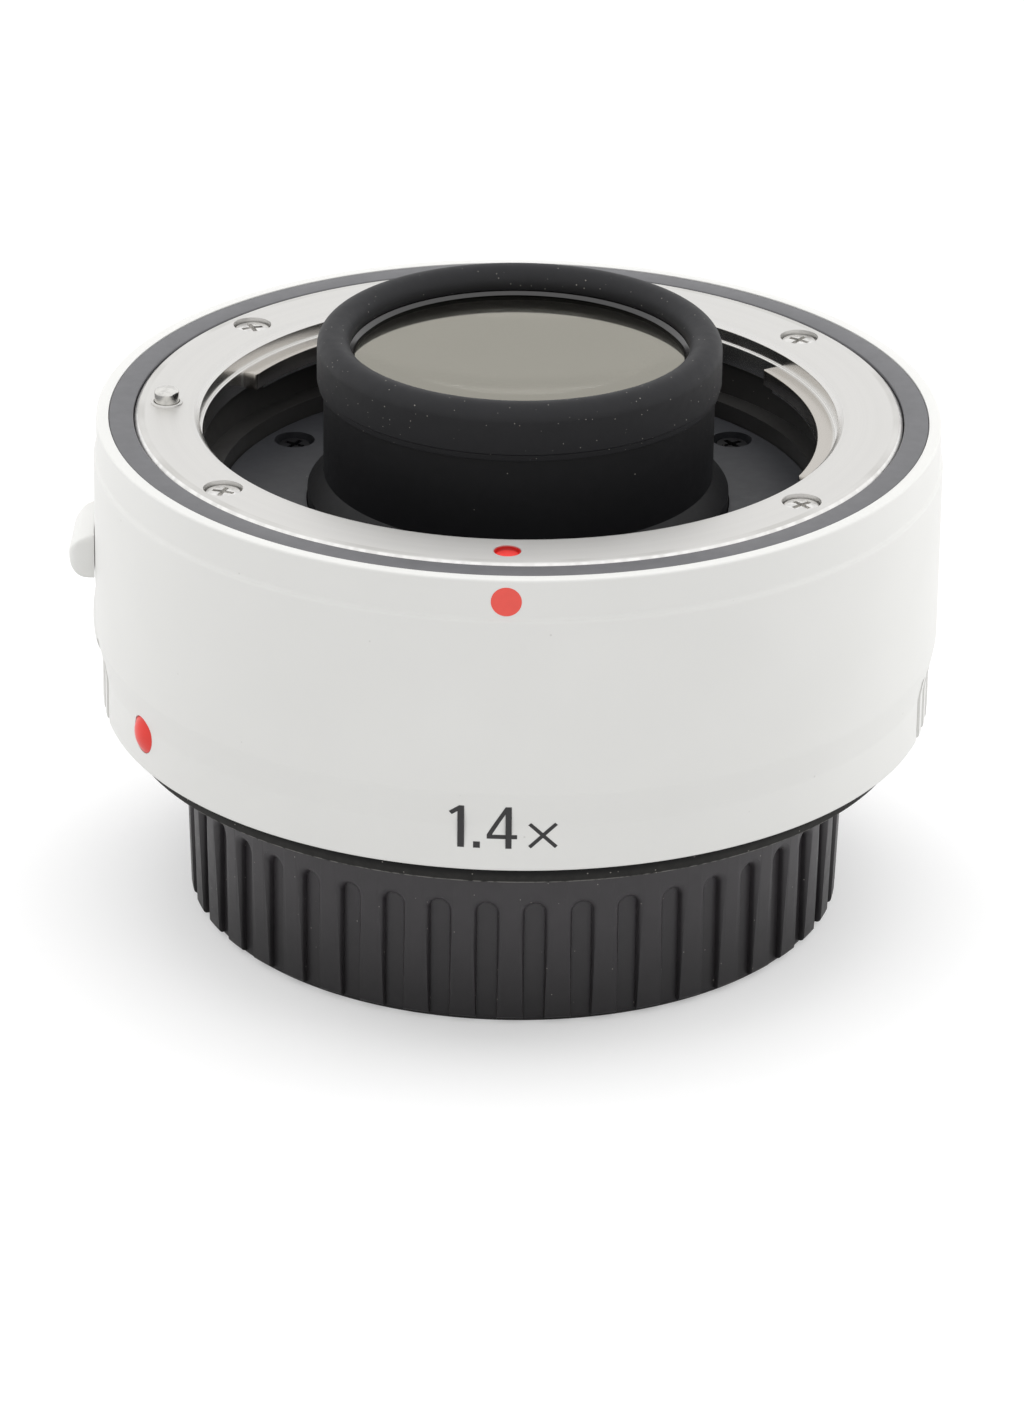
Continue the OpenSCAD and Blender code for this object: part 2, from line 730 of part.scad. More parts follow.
// Cast frame that carries both mounts, the web, the lock and the board
module main_frame() {
    color("black")
    difference() {
        union() {
            rotate_extrude()
                polygon([
                    [rear_bore_r, rear_seat_z],
                    [frame_r, rear_seat_z],
                    [frame_r, lip_z],
                    [plate_r - fit_gap, lip_z],
                    [plate_r - fit_gap, front_seat_z],
                    [flange_in_r, front_seat_z],
                    [flange_in_r, front_flange_z],
                    [frame_in_r, front_flange_z],
                    [frame_in_r, web_z],
                    [frame_in_r - web_seat_w, web_z],
                    [frame_in_r - web_seat_w, web_z - web_seat_h],
                    [frame_in_r, web_z - web_seat_h],
                    [frame_in_r, rear_flange_z],
                    [rear_bore_r, rear_flange_z]
                ]);
            for (angle = board_screw_angles)
                at(post_circle_r, angle)
                    post(2 * post_r, rear_flange_z - fuse, board_z);
            knob_side_box(
                pin_r - lock_coil_d, frame_in_r + fuse, pocket_w,
                spring_seat_z - seat_t, spring_seat_z
            );
        }
        lock_pocket();
        knob_side_box(
            frame_in_r - past, frame_r + past, neck_w + 2 * run_gap,
            neck_z - lock_travel - run_gap, neck_top_z + run_gap
        );
        at(pin_r, 180)
            post(pin_d + 2 * fit_gap, front_flange_z - past, front_seat_z + past);
        // Threaded holes for the screws
        for (angle = screw_angles) {
            at(screw_circle_r, angle)
                post(screw_d, front_seat_z - screw_grip, front_seat_z + past);
            at(screw_circle_r, angle)
                post(screw_d, rear_seat_z - past, rear_flange_z + past);
        }
        for (angle = board_screw_angles)
            at(post_circle_r, angle)
                post(small_shank_d, rear_flange_z, board_z + past);
    }
}

// Room for the slider of the release lock
module lock_pocket() {
    knob_side_box(
        throat_wall_r, slider_out_r + run_gap, pocket_w, spring_seat_z, front_flange_z
    );
}

// Web of the frame, on which the lens cell and the throat ring stand
module frame_web() {
    color("black")
    difference() {
        ring(cell_rear_r + fit_gap, frame_in_r - fit_gap, web_z, web_top_z);
        lock_pocket();
        for (angle = cell_screw_angles)
            at(cell_screw_r, angle)
                post(small_shank_d, web_z - past, web_top_z + past);
        flex_slot(web_z, web_top_z);
    }
}

// Black wall of the throat, with the ledge round the floor
module throat_ring() {
    color("black")
        rotate_extrude()
            polygon([
                [floor_r, web_top_z],
                [throat_wall_r, web_top_z],
                [throat_wall_r, collar_z - fit_gap],
                [throat_wall_in_r, collar_z - fit_gap],
                [throat_wall_in_r, ledge_z],
                [floor_r, ledge_z]
            ]);
}

// Slot through a plate for the front flexible circuit
module flex_slot(z0, z1) {
    translate([-flex_w / 2 - flex_slot_gap, flex_r - flex_slot_gap, z0 - past])
        cube([flex_w + 2 * flex_slot_gap, flex_t + 2 * flex_slot_gap, z1 - z0 + 2 * past]);
}

// Steel bayonet mount for a lens: plate, collar and three inward tabs
module front_mount() {
    color("silver")
    difference() {
        union() {
            rotate_extrude()
                polygon([
                    [throat_r, collar_z],
                    [collar_r, collar_z],
                    [collar_r, z_front - plate_t],
                    [plate_r, z_front - plate_t],
                    [plate_r, z_front - plate_chamfer],
                    [plate_r - plate_chamfer, z_front],
                    [throat_r + throat_chamfer, z_front],
                    [throat_r, z_front - throat_chamfer]
                ]);
            for (angle = tab_angles)
                ring_part(
                    tab_in_r, throat_r + fuse, z_front - tab_drop - tab_t, z_front - tab_drop,
                    angle, tab_span
                );
        }
        for (angle = screw_angles)
            at(screw_circle_r, angle) {
                post(counterbore_d, z_front - counterbore_depth, z_front + past);
                post(screw_d + 2 * fit_gap, z_front - plate_t - past, z_front);
            }
        at(pin_r, 180)
            post(pin_d + 2 * fit_gap, z_front - plate_t - past, z_front + past);
        at(pin_r, -90)
            post(dot_d, z_front - dot_recess, z_front + past);
    }
}

// Thin ring that sets the front mount's height
module front_mount_shim() {
    color("gainsboro")
        mount_shim(collar_r + fit_gap, plate_r - fit_gap, front_seat_z, true);
}

// A shim with holes for the mount screws and, where asked, for the lock pin
module mount_shim(r_in, r_out, z, pin_hole) {
    difference() {
        ring(r_in, r_out, z, z + shim_t);
        for (angle = screw_angles)
            at(screw_circle_r, angle)
                post(screw_d + 2 * fit_gap, z - past, z + shim_t + past);
        if (pin_hole)
            at(pin_r, 180)
                post(pin_d + 2 * fit_gap, z - past, z + shim_t + past);
    }
}

// Four screws that hold the front mount
module front_mount_screws() {
    color("lightgray")
        for (angle = screw_angles)
            at(screw_circle_r, angle, z_front - counterbore_depth)
                rotate([0, 0, 45])
                    mount_screw(plate_t + shim_t - counterbore_depth + screw_grip);
}

// A mount screw whose shank just clears the walls of its hole
module mount_screw(shank_l) {
    screw(screw_head_d, screw_head_h, screw_d - fit_gap, shank_l - fit_gap);
}

// Leaf springs under the tabs, which draw a lens against the mount
module tab_leaf_springs() {
    z = z_front - tab_drop - tab_t;
    color("gray")
        for (angle = tab_angles)
            ring_part(
                tab_in_r + fit_gap, throat_r - fit_gap, z - leaf_t, z, angle,
                tab_span - 2 * leaf_end_angle
            );
}

// Paint in the index recess of the front mount
module mount_index_dot() {
    color("red")
        at(pin_r, -90)
            post(dot_d - fit_gap, z_front - dot_recess, z_front - dot_recess + dot_t);
}

// Domed index bead low on the barrel
module rear_index_bead() {
    depth = rear_band_r - barrel_in_r - fit_gap;
    crown_r = (pow(bead_d / 2, 2) + pow(bead_proud, 2)) / (2 * bead_proud);
    color("red")
        at(barrel_in_r + fit_gap, bead_angle, barrel_z + bead_up)
            rotate([0, 90, 0])
                intersection() {
                    cylinder(d = bead_d, h = depth + bead_proud);
                    translate([0, 0, depth + bead_proud - crown_r])
                        sphere(r = crown_r);
                }
}

// Lock pin with a round tip
module lock_pin() {
    tip_r = pin_d / 2;
    tip_z = z_front + pin_proud;
    tip_edge = 0.35;
    color("silver")
        at(pin_r, 180)
            rotate_extrude()
                polygon([
                    [0, shelf_top_z],
                    [tip_r, shelf_top_z],
                    [tip_r, tip_z - tip_edge],
                    [tip_r - tip_edge, tip_z],
                    [0, tip_z]
                ]);
}

// Bracket that joins the lock pin to the knob
module lock_slider() {
    color("gray")
    difference() {
        union() {
            knob_side_box(slider_in_r, slider_out_r, slider_w, slider_z, slider_top_z);
            knob_side_box(shelf_in_r, slider_out_r, slider_w, shelf_z, shelf_top_z);
        }
        for (side = [-1, 1])
            translate([-slider_out_r - past, side * slider_screw_y, slider_screw_z])
                rotate([0, 90, 0])
                    cylinder(d = slider_screw_d + fit_gap, h = slider_t + 2 * past);
    }
}

// Two screws that hold the knob's neck on the slider
module slider_screws() {
    color("lightgray")
        for (side = [-1, 1])
            translate([-slider_in_r, side * slider_screw_y, slider_screw_z])
                rotate([0, 90, 0])
                    union() {
                        cylinder(d = slider_head_d, h = slider_head_h);
                        translate([0, 0, -slider_t - slider_screw_grip])
                            cylinder(
                                d = slider_screw_d, h = slider_t + slider_screw_grip + fuse
                            );
                    }
}

// Knob that slides down the barrel: a sloping round top, a round foot and a neck
module release_knob() {
    hole_l = slider_screw_grip + run_gap;
    color("whitesmoke")
    difference() {
        union() {
            intersection() {
                rotate([90, 0, 0])
                    translate([0, 0, -knob_w / 2])
                        linear_extrude(height = knob_w)
                            knob_profile();
                translate([-knob_out_r, -knob_w / 2, knob_z - past])
                    linear_extrude(height = knob_h + 2 * past)
                        knob_plan();
            }
            knob_side_box(slider_out_r, knob_in_r + fuse, neck_w, neck_z, neck_top_z);
        }
        difference() {
            translate([0, 0, knob_z - past])
                cylinder(r = knob_in_r, h = knob_h + 2 * past);
            knob_side_box(slider_out_r, knob_in_r + past, neck_w, neck_z, neck_top_z);
        }
        for (side = [-1, 1])
            translate([-slider_out_r - hole_l, side * slider_screw_y, slider_screw_z])
                rotate([0, 90, 0])
                    cylinder(d = slider_screw_d + fit_gap, h = hole_l + past);
    }
}

// The knob seen from its end: a box under a crown, with a round outer foot
module knob_profile() {
    foot_x = -knob_out_r + knob_foot_r;
    intersection() {
        union() {
            translate([foot_x, knob_z])
                square([knob_proud, knob_h]);
            translate([-knob_out_r, knob_z + knob_foot_r])
                square([knob_proud, knob_h]);
            translate([foot_x, knob_z + knob_foot_r])
                circle(r = knob_foot_r);
        }
        translate([-barrel_r, knob_top_z - knob_crown_r])
            circle(r = knob_crown_r);
    }
}

// The knob seen from above, with its outer corners rounded
module knob_plan() {
    l = knob_proud + past;
    r = knob_corner_r;
    translate([r, 0])
        square([l - r, knob_w]);
    translate([0, r])
        square([l, knob_w - 2 * r]);
    for (y = [r, knob_w - r])
        translate([r, y])
            circle(r = r);
}

// Coil spring under the slider's shelf
module lock_spring() {
    color("gray")
        at(pin_r, 180)
            coil(
                lock_coil_d, lock_wire_d, lock_turns, spring_seat_z + spring_end_gap,
                shelf_z - spring_end_gap
            );
    echo(lock_spring_gap = coil_gap(
        lock_coil_d, lock_wire_d, lock_turns, lock_spring_l - 2 * spring_end_gap
    ));
}

// Black lens cell: the barrel of the rear lenses and the flange that holds it
module lens_cell() {
    flange_r = floor_r - fit_gap;
    color("black")
    difference() {
        rotate_extrude()
            polygon([
                [rear_bore_cell_r, cell_z],
                [cell_rear_r, cell_z],
                [cell_rear_r, web_top_z],
                [flange_r, web_top_z],
                [flange_r, cell_flange_top_z],
                [rear_bore_cell_r, cell_flange_top_z]
            ]);
        for (angle = cell_screw_angles)
            at(cell_screw_r, angle)
                post(small_shank_d + 2 * fit_gap, web_top_z - past, cell_flange_top_z + past);
        flex_slot(web_top_z, cell_flange_top_z);
    }
}

// Black tube on the cell's flange, with a flare at its foot and a shoulder in its bore
module front_tube() {
    color("black")
        rotate_extrude()
            polygon([
                [rear_bore_cell_r, cell_flange_top_z],
                [flare_r, cell_flange_top_z],
                [flare_r, floor_z + flare_edge_h],
                [tube_r, floor_z + flare_h],
                [tube_r, tube_z],
                [front_bore_r, tube_z],
                [front_bore_r, front_group_seat_z],
                [cell_shoulder_r, front_group_seat_z],
                [cell_shoulder_r, middle_group_seat_z],
                [rear_bore_cell_r, middle_group_seat_z]
            ]);
}

// Rubber hood: a round lip over the tube's end and a skirt down its side
module hood_ring() {
    lip_r = hood_r - hood_lip_r;
    color([0.2, 0.2, 0.21])
        rotate_extrude()
            union() {
                intersection() {
                    translate([lip_r, hood_lip_z])
                        circle(r = hood_lip_r);
                    translate([0, tube_z])
                        square([hood_r + past, 2 * hood_lip]);
                }
                translate([tube_r + fit_gap, hood_z])
                    square([hood_r - tube_r - fit_gap, hood_lip_z - hood_z]);
            }
}

// Ring that holds the front group in the tube
module front_retaining_ring() {
    low = front_v[0] - sag(front_group_r[0], front_ring_r) + cement_t;
    color("black")
        ring(front_ring_r, front_bore_r - fit_gap, low, tube_z - fit_gap);
}

// Front doublet
module front_lens_a() {
    color("lightblue", 0.5)
        biconvex(
            front_lens_r, front_v[0], front_group_r[0], front_v[1], front_group_r[1]
        );
}

module front_lens_b() {
    color("lightblue", 0.5)
        biconcave(
            front_lens_r, front_v[1] - cement_t, front_group_r[1],
            front_v[2], front_group_r[2]
        );
}

// Middle triplet
module middle_lens_a() {
    color("lightblue", 0.5)
        biconcave(
            rear_lens_r, middle_v[0], middle_group_r[0],
            middle_v[1] + cement_t, middle_group_r[1]
        );
}

module middle_lens_b() {
    color("lightblue", 0.5)
        biconvex(
            rear_lens_r, middle_v[1], middle_group_r[1], middle_v[2], middle_group_r[2]
        );
}

module middle_lens_c() {
    color("lightblue", 0.5)
        biconcave(
            rear_lens_r, middle_v[2] - cement_t, middle_group_r[2],
            middle_v[3], middle_group_r[3]
        );
}

// Rear doublet
module rear_lens_a() {
    color("lightblue", 0.5)
        biconvex(rear_lens_r, rear_v[0], rear_group_r[0], rear_v[1], rear_group_r[1]);
}

module rear_lens_b() {
    color("lightblue", 0.5)
        meniscus(
            rear_lens_r, rear_v[1] - cement_t, rear_group_r[1], rear_v[2], rear_group_r[2]
        );
}

// Spacer between the middle and the rear group
module lens_spacer() {
    low = rear_v[0] - sag(rear_group_r[0], rear_ring_r) + cement_t;
    color("black")
        ring(rear_ring_r, rear_bore_cell_r - fit_gap, low, middle_group_rim_z - cement_t);
}

// Ring that holds the rear group in the cell
module rear_retaining_ring() {
    top = rear_v[2] + sag(rear_group_r[2], rear_ring_r) - cement_t;
    color("black")
        ring(rear_ring_r, rear_bore_cell_r - fit_gap, cell_z + fit_gap, top);
}

// Black floor of the throat, with wells for the cell's screws
module floor_plate() {
    color("black")
    difference() {
        ring(flare_r + fit_gap, floor_r - fit_gap, cell_flange_top_z, floor_z);
        for (angle = cell_screw_angles)
            at(cell_screw_r, angle)
                post(counterbore_d, cell_flange_top_z - past, floor_z + past);
        flex_slot(cell_flange_top_z, floor_z);
    }
}

// Screws that hold the lens cell in the frame
module floor_screws() {
    color("black")
        for (angle = cell_screw_angles)
            at(cell_screw_r, angle, cell_flange_top_z)
                screw(small_head_d, small_head_h, small_shank_d - fit_gap, cell_flange_t + web_t);
}

// Block that guides the sprung pins of the front mount
module front_contact_block() {
    color([0.12, 0.12, 0.13])
    difference() {
        ring_part(block_in_r, block_out_r, floor_z, block_top_z, contact_mid, block_span);
        for (i = [0:contact_count - 1])
            at(contact_r, contact_angle(i, contact_count, contact_r)) {
                post(contact_hole_d, floor_z, block_top_z + past);
                post(contact_well_d, floor_z - past, block_top_z - block_roof_t);
            }
    }
}

// Angle that a length covers on a circle of radius r
function arc_angle(length, r) = length / r * 180 / PI;

// Angle of a contact in a row of count contacts at the radius r
function contact_angle(i, count, r) =
    contact_mid + arc_angle(contact_pitch * (i - (count - 1) / 2), r);

// Gold pins that touch a lens's pads
module front_contact_pins() {
    tip_z = block_top_z + contact_proud;
    tip_edge = 0.2;
    color("gold")
        for (i = [0:contact_count - 1])
            at(contact_r, contact_angle(i, contact_count, contact_r))
                rotate_extrude()
                    polygon([
                        [0, contact_collar_top_z - contact_collar_h],
                        [contact_collar_d / 2, contact_collar_top_z - contact_collar_h],
                        [contact_collar_d / 2, contact_collar_top_z],
                        [contact_d / 2, contact_collar_top_z],
                        [contact_d / 2, tip_z - tip_edge],
                        [contact_d / 2 - tip_edge, tip_z],
                        [0, tip_z]
                    ]);
}

// Coil springs under the contact pins
module contact_springs() {
    low = floor_z + spring_end_gap;
    top = contact_collar_top_z - contact_collar_h - spring_end_gap;
    color("gray")
        for (i = [0:contact_count - 1])
            at(contact_r, contact_angle(i, contact_count, contact_r))
                coil(contact_d, contact_wire_d, contact_turns, low, top);
    echo(contact_spring_gap = coil_gap(contact_d, contact_wire_d, contact_turns, top - low));
}

// Flexible circuit from the front contacts down to the board
module front_flex() {
    color("peru")
        translate([-flex_w / 2, flex_r, board_z + board_t])
            cube([flex_w, flex_t, floor_z - board_z - board_t]);
}

// Ring-shaped circuit board on the frame's posts
module circuit_board() {
    color("darkgreen")
    difference() {
        ring(board_in_r, board_r, board_z, board_z + board_t);
        for (angle = board_screw_angles)
            at(post_circle_r, angle)
                post(small_shank_d + 2 * fit_gap, board_z - past, board_z + board_t + past);
    }
}

// Chips on the board: a processor, its memory and a row of small parts
module board_chips() {
    color([0.15, 0.15, 0.15])
        translate([0, 0, board_z + board_t]) {
            chip(processor, 200);
            chip(memory, 0);
            for (angle = small_part_angles)
                chip(small_part, angle);
        }
}

// A flat chip in the middle of the board's ring
module chip(size, angle) {
    at(chip_r, angle)
        translate([-size[0] / 2, -size[1] / 2, 0])
            cube(size);
}

// Screws that hold the board on its posts
module board_screws() {
    color("lightgray")
        for (angle = board_screw_angles)
            at(post_circle_r, angle, board_z + board_t)
                screw(
                    small_head_d, small_head_h, small_shank_d - fit_gap,
                    board_t + board_screw_grip
                );
}

// Flexible circuit from the board down to the rear contacts
module rear_flex() {
    low = baffle_floor_z + rear_block_t;
    color("peru")
        translate([-flex_w / 2, pad_r, low])
            cube([flex_w, flex_t, board_z - low]);
}

// Steel bayonet mount for a camera: plate, barrel and three outward tabs
module rear_mount() {
    color("silver")
    difference() {
        union() {
            rotate_extrude()
                polygon([
                    [bayonet_in_r, bayonet_z],
                    [bayonet_r, bayonet_z],
                    [bayonet_r, z_rear],
                    [plate_r - plate_chamfer, z_rear],
                    [plate_r, z_rear + plate_chamfer],
                    [plate_r, z_rear + rear_plate_t],
                    [bayonet_in_r, z_rear + rear_plate_t]
                ]);
            for (angle = tab_angles)
                ring_part(
                    bayonet_r - fuse, male_tab_r, male_tab_top_z - tab_t, male_tab_top_z,
                    angle, tab_span
                );
        }
        for (angle = screw_angles)
            at(screw_circle_r, angle) {
                post(counterbore_d, z_rear - past, z_rear + counterbore_depth);
                post(screw_d + 2 * fit_gap, z_rear, z_rear + rear_plate_t + past);
            }
        at(pin_r, 180)
            post(pin_d + 2 * fit_gap, z_rear - past, z_rear + lock_slot_depth);
    }
}

// Thin ring that sets the rear mount's height
module rear_mount_shim() {
    color("gainsboro")
        mount_shim(rear_bore_r, plate_r - fit_gap, rear_seat_z - shim_t, false);
}

// Four screws that hold the rear mount
module rear_mount_screws() {
    shank_l = rear_plate_t + shim_t - counterbore_depth + rear_flange_t;
    color("lightgray")
        for (angle = screw_angles)
            at(screw_circle_r, angle, z_rear + counterbore_depth)
                rotate([180, 0, 45])
                    mount_screw(shank_l);
}

// Rubber ring round the rear mount that seals against a camera
module rear_seal_ring() {
    color([0.1, 0.1, 0.1])
        ring(plate_r + fit_gap, barrel_in_r - run_gap, z_rear - seal_proud, rear_seat_z);
}

// Black light baffle inside the rear mount
module rear_baffle() {
    plate_top_z = z_rear + rear_plate_t;
    color("black")
    difference() {
        rotate_extrude()
            polygon([
                [baffle_in_r, baffle_z],
                [baffle_r, baffle_z],
                [baffle_r, plate_top_z],
                [rear_bore_r - run_gap, plate_top_z],
                [rear_bore_r - run_gap, plate_top_z + baffle_lip_t],
                [baffle_r - baffle_wall, plate_top_z + baffle_lip_t],
                [baffle_r - baffle_wall, baffle_floor_z],
                [baffle_in_r + baffle_wall, baffle_floor_z],
                [baffle_in_r + baffle_wall, z_rear],
                [baffle_in_r, z_rear]
            ]);
        ring_part(
            pad_r - rear_block_w / 2, pad_r + rear_block_w / 2, baffle_z - past,
            baffle_floor_z + past, contact_mid, pad_span
        );
    }
}

// Block that carries the rear contact pads
module rear_contact_block() {
    half = rear_block_w / 2;
    color([0.12, 0.12, 0.13])
    union() {
        ring_part(
            pad_r - half - rear_block_rim, pad_r + half + rear_block_rim, baffle_floor_z,
            baffle_floor_z + rear_block_t, contact_mid,
            pad_span + arc_angle(2 * rear_block_end, pad_r)
        );
        ring_part(
            pad_r - half + fit_gap, pad_r + half - fit_gap, pad_face_z,
            baffle_floor_z + fuse, contact_mid, pad_span - arc_angle(2 * run_gap, pad_r)
        );
    }
}

// Gold pads that touch a camera's pins
module rear_contact_pads() {
    color("gold")
        for (i = [0:pad_count - 1])
            at(pad_r, contact_angle(i, pad_count, pad_r))
                post(pad_d, pad_face_z - pad_t, pad_face_z);
}

// Rear cap: a fluted cup with three bayonet tabs inside its rim
module rear_cap() {
    color([0.16, 0.16, 0.17])
    difference() {
        union() {
            rotate_extrude()
                difference() {
                    union() {
                        polygon([
                            [0, 0],
                            [cap_foot_r - cap_edge_r, 0],
                            [cap_foot_r, cap_edge_r],
                            [cap_r, cap_h],
                            [cap_in_r, cap_h],
                            [cap_in_r, cap_floor],
                            [0, cap_floor]
                        ]);
                        translate([cap_foot_r - cap_edge_r, cap_edge_r])
                            circle(r = cap_edge_r);
                    }
                    translate([0, cap_floor])
                        square([cap_in_r, cap_h]);
                }
            for (angle = tab_angles)
                ring_part(
                    cap_tab_in_r, cap_in_r + fuse, cap_tab_z, cap_tab_z + cap_tab_t,
                    angle, tab_span - 2 * cap_tab_end_angle
                );
        }
        for (i = [0:flute_count - 1])
            rotate([0, 0, 360 / flute_count * i])
                flute();
    }
}

// One flute of the cap, open at the foot and round at its top
module flute() {
    r = cap_foot_r + (cap_r - cap_foot_r) * flute_top / cap_h - flute_depth;
    translate([r, 0, 0])
        rotate([90, 0, 90])
            linear_extrude(height = flute_depth + past) {
                translate([-flute_w / 2, -past])
                    square([flute_w, flute_top - flute_w / 2 + past]);
                translate([0, flute_top - flute_w / 2])
                    circle(d = flute_w);
            }
}

barrel_shell();
front_trim_ring();
main_frame();
frame_web();
throat_ring();
front_mount();
front_mount_shim();
front_mount_screws();
tab_leaf_springs();
mount_index_dot();
rear_index_bead();
lock_pin();
lock_slider();
slider_screws();
release_knob();
lock_spring();
lens_cell();
front_tube();
hood_ring();
front_retaining_ring();
front_lens_a();
front_lens_b();
middle_lens_a();
middle_lens_b();
middle_lens_c();
rear_lens_a();
rear_lens_b();
lens_spacer();
rear_retaining_ring();
floor_plate();
floor_screws();
front_contact_block();
front_contact_pins();
contact_springs();
front_flex();
circuit_board();
board_chips();
board_screws();
rear_flex();
rear_mount();
rear_mount_shim();
rear_mount_screws();
rear_seal_ring();
rear_baffle();
rear_contact_block();
rear_contact_pads();
rear_cap();
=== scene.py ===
import math

import bpy
from mathutils import Matrix, Vector


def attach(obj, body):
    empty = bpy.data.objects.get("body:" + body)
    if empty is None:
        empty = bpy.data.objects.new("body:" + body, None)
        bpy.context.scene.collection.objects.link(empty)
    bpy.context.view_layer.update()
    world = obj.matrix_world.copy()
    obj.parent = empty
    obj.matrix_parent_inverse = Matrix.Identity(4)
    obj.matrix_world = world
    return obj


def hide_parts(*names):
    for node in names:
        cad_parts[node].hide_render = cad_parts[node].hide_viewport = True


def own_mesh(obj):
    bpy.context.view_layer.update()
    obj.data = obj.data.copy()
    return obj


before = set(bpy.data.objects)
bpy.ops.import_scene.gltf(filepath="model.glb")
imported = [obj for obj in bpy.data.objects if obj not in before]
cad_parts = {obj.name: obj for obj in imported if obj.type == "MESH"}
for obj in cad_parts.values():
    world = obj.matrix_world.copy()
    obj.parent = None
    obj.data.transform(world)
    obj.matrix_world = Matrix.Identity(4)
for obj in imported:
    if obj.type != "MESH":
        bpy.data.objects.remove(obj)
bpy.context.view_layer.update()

# All sizes below are in millimetres, in the part's own frame: the cap's foot is at height 0.
# Angles are in degrees, counted from the X axis.
MM = 0.001
ROUND_STEPS = 288
MERGE_REACH = 0.0005

# The barrel
BARREL_IN_R = 34.7
REAR_BAND_R = 35.45
BARREL_R = 36.0
FRONT_BAND_R = 35.75
BARREL_FOOT = 17.9
RIM = 43.95
LEDGE_R = 32.7
LEDGE_LOW = 41.6
LEDGE_TOP = 43.1
GRIP_DEPTH = 0.3
GRIP_HALF = 0.6
GRIP_HEIGHT = 5.8
GRIP_PITCH = 3.4
SWELLING_RADII = (1.18, 5.0, 3.9)
SWELLING_PLACE = (-35.1, 0, 25.0)
SLOT_HALF = 3.5
SLOT_TOP = 33.2
BEAD_ANGLE = -150
BEAD_HEIGHT = 21.2
BEAD_SEAT_R = 34.75
BEAD_HOLE_R = 1.65
PRINT_STRIP = 0.25
PRINT_LIFT = 0.02
PRINT_THICKNESS = 0.015

# The front mount
TOP = 44.0
PLATE_R = 32.5
PLATE_LOW = 42.4
PLATE_CHAMFER = 0.35
THROAT_R = 27.0
SCREW_CIRCLE_R = 30.0
BORE_R = 1.65
BORE_DEPTH = 0.95
PIN_CIRCLE_R = 29.85
PIN_R = 1.05
PIN_TOP = 45.2
PIN_HOLE_R = 1.1
WELL_R = 1.13
WELL_DEPTH = 0.8
MOUNT_SCREW_ANGLES = (37.5, 142.5, 217.5, 322.5)
MOUNT_CROSS_TURNS = (20, 60, 35, 80)
TAB_ANGLES = (7, 127, 247)
TAB_SWEEP = 56

# The release knob, which stands out on the side of negative X
KNOB_OUT = -38.1
KNOB_BACK = -34.4
KNOB_FOOT = 29.3
KNOB_TOP = 33.3
KNOB_HALF = 4.15
KNOB_GRAIN = 0.08
KNOB_SEAT_R = 36.06

# The hood, the ring that keeps the front glass, and the glass
HOOD_R = 17.1
HOOD_IN_R = 16.6
HOOD_FOOT_R = 16.96
HOOD_FOOT = 46.42
LIP_R = 1.4
LIP_CENTRE = (15.7, 49.8)
KEEPER_R = 15.05
KEEPER_IN_R = 13.95
KEEPER_LOW = 47.95
KEEPER_TOP = 49.2
FLAT_GLASS_R = 13.9
FLAT_GLASS_TOP = 49.0

# The rear cap and the seal above it
SEAL_FOOT = 16.0
CAP_TOP = 16.4
CAP_STEP = 0.5
CAP_IN_R = 27.1
CAP_FLOOR = 1.6
CAP_SHADE_TOP = 13.0
CAP_TAB_SWEEP = 54
FLUTE_COUNT = 44
FLUTE_TURN = -2.84
FLUTE_FLOOR = 27.5
FLUTE_HALF = 0.85
FLUTE_TOP = 10.4
FLUTE_ROLL = 0.6
FLUTE_ROLL_AT = 27.75
FLUTE_OUT = 30

# The stage, in metres, and a colour that several finishes share
PART_MIDDLE = (0, 0, 0.03)
CAMERA_PLACE = (0.01415, -0.54040, 0.26618)
CAMERA_AHEAD = (-0.0242, 0.9072, -0.4200)
CAMERA_UP = (-0.02389, 0.41942, 0.9075)
DUST = (0.36, 0.34, 0.31, 1)


# Ways of making a piece

def select_only(piece):
    """Makes a piece the only one selected, and the active one."""
    bpy.ops.object.select_all(action="DESELECT")
    piece.select_set(True)
    bpy.context.view_layer.objects.active = piece


def added(name):
    """The object that an operator has just added, under its name."""
    piece = bpy.context.object
    piece.name = name
    piece.data.name = name
    return piece


def polar(radius, angle):
    """The (x, y) place at a radius and an angle in degrees."""
    return radius * math.cos(math.radians(angle)), radius * math.sin(math.radians(angle))


def arc(centre, radius, first, last, facets):
    """Points of an arc from one angle to another, in degrees."""
    points = []
    for step in range(facets + 1):
        across, up = polar(radius, first + (last - first) * step / facets)
        points.append((centre[0] + across, centre[1] + up))
    return points


def rounded(corners, facets=5):
    """The outline through (x, y, radius) corners, with every corner rounded by its radius."""
    outline = []
    for number, (x, y, radius) in enumerate(corners):
        corner = Vector((x, y))
        if radius == 0:
            outline.append((x, y))
            continue
        back = (Vector(corners[number - 1][:2]) - corner).normalized()
        ahead = (Vector(corners[(number + 1) % len(corners)][:2]) - corner).normalized()
        half = back.angle(ahead) / 2
        centre = corner + (back + ahead).normalized() * radius / math.sin(half)
        first = (corner + back * radius / math.tan(half) - centre).normalized()
        last = (corner + ahead * radius / math.tan(half) - centre).normalized()
        for step in range(facets + 1):
            outline.append(tuple(centre + first.slerp(last, step / facets) * radius))
    return outline


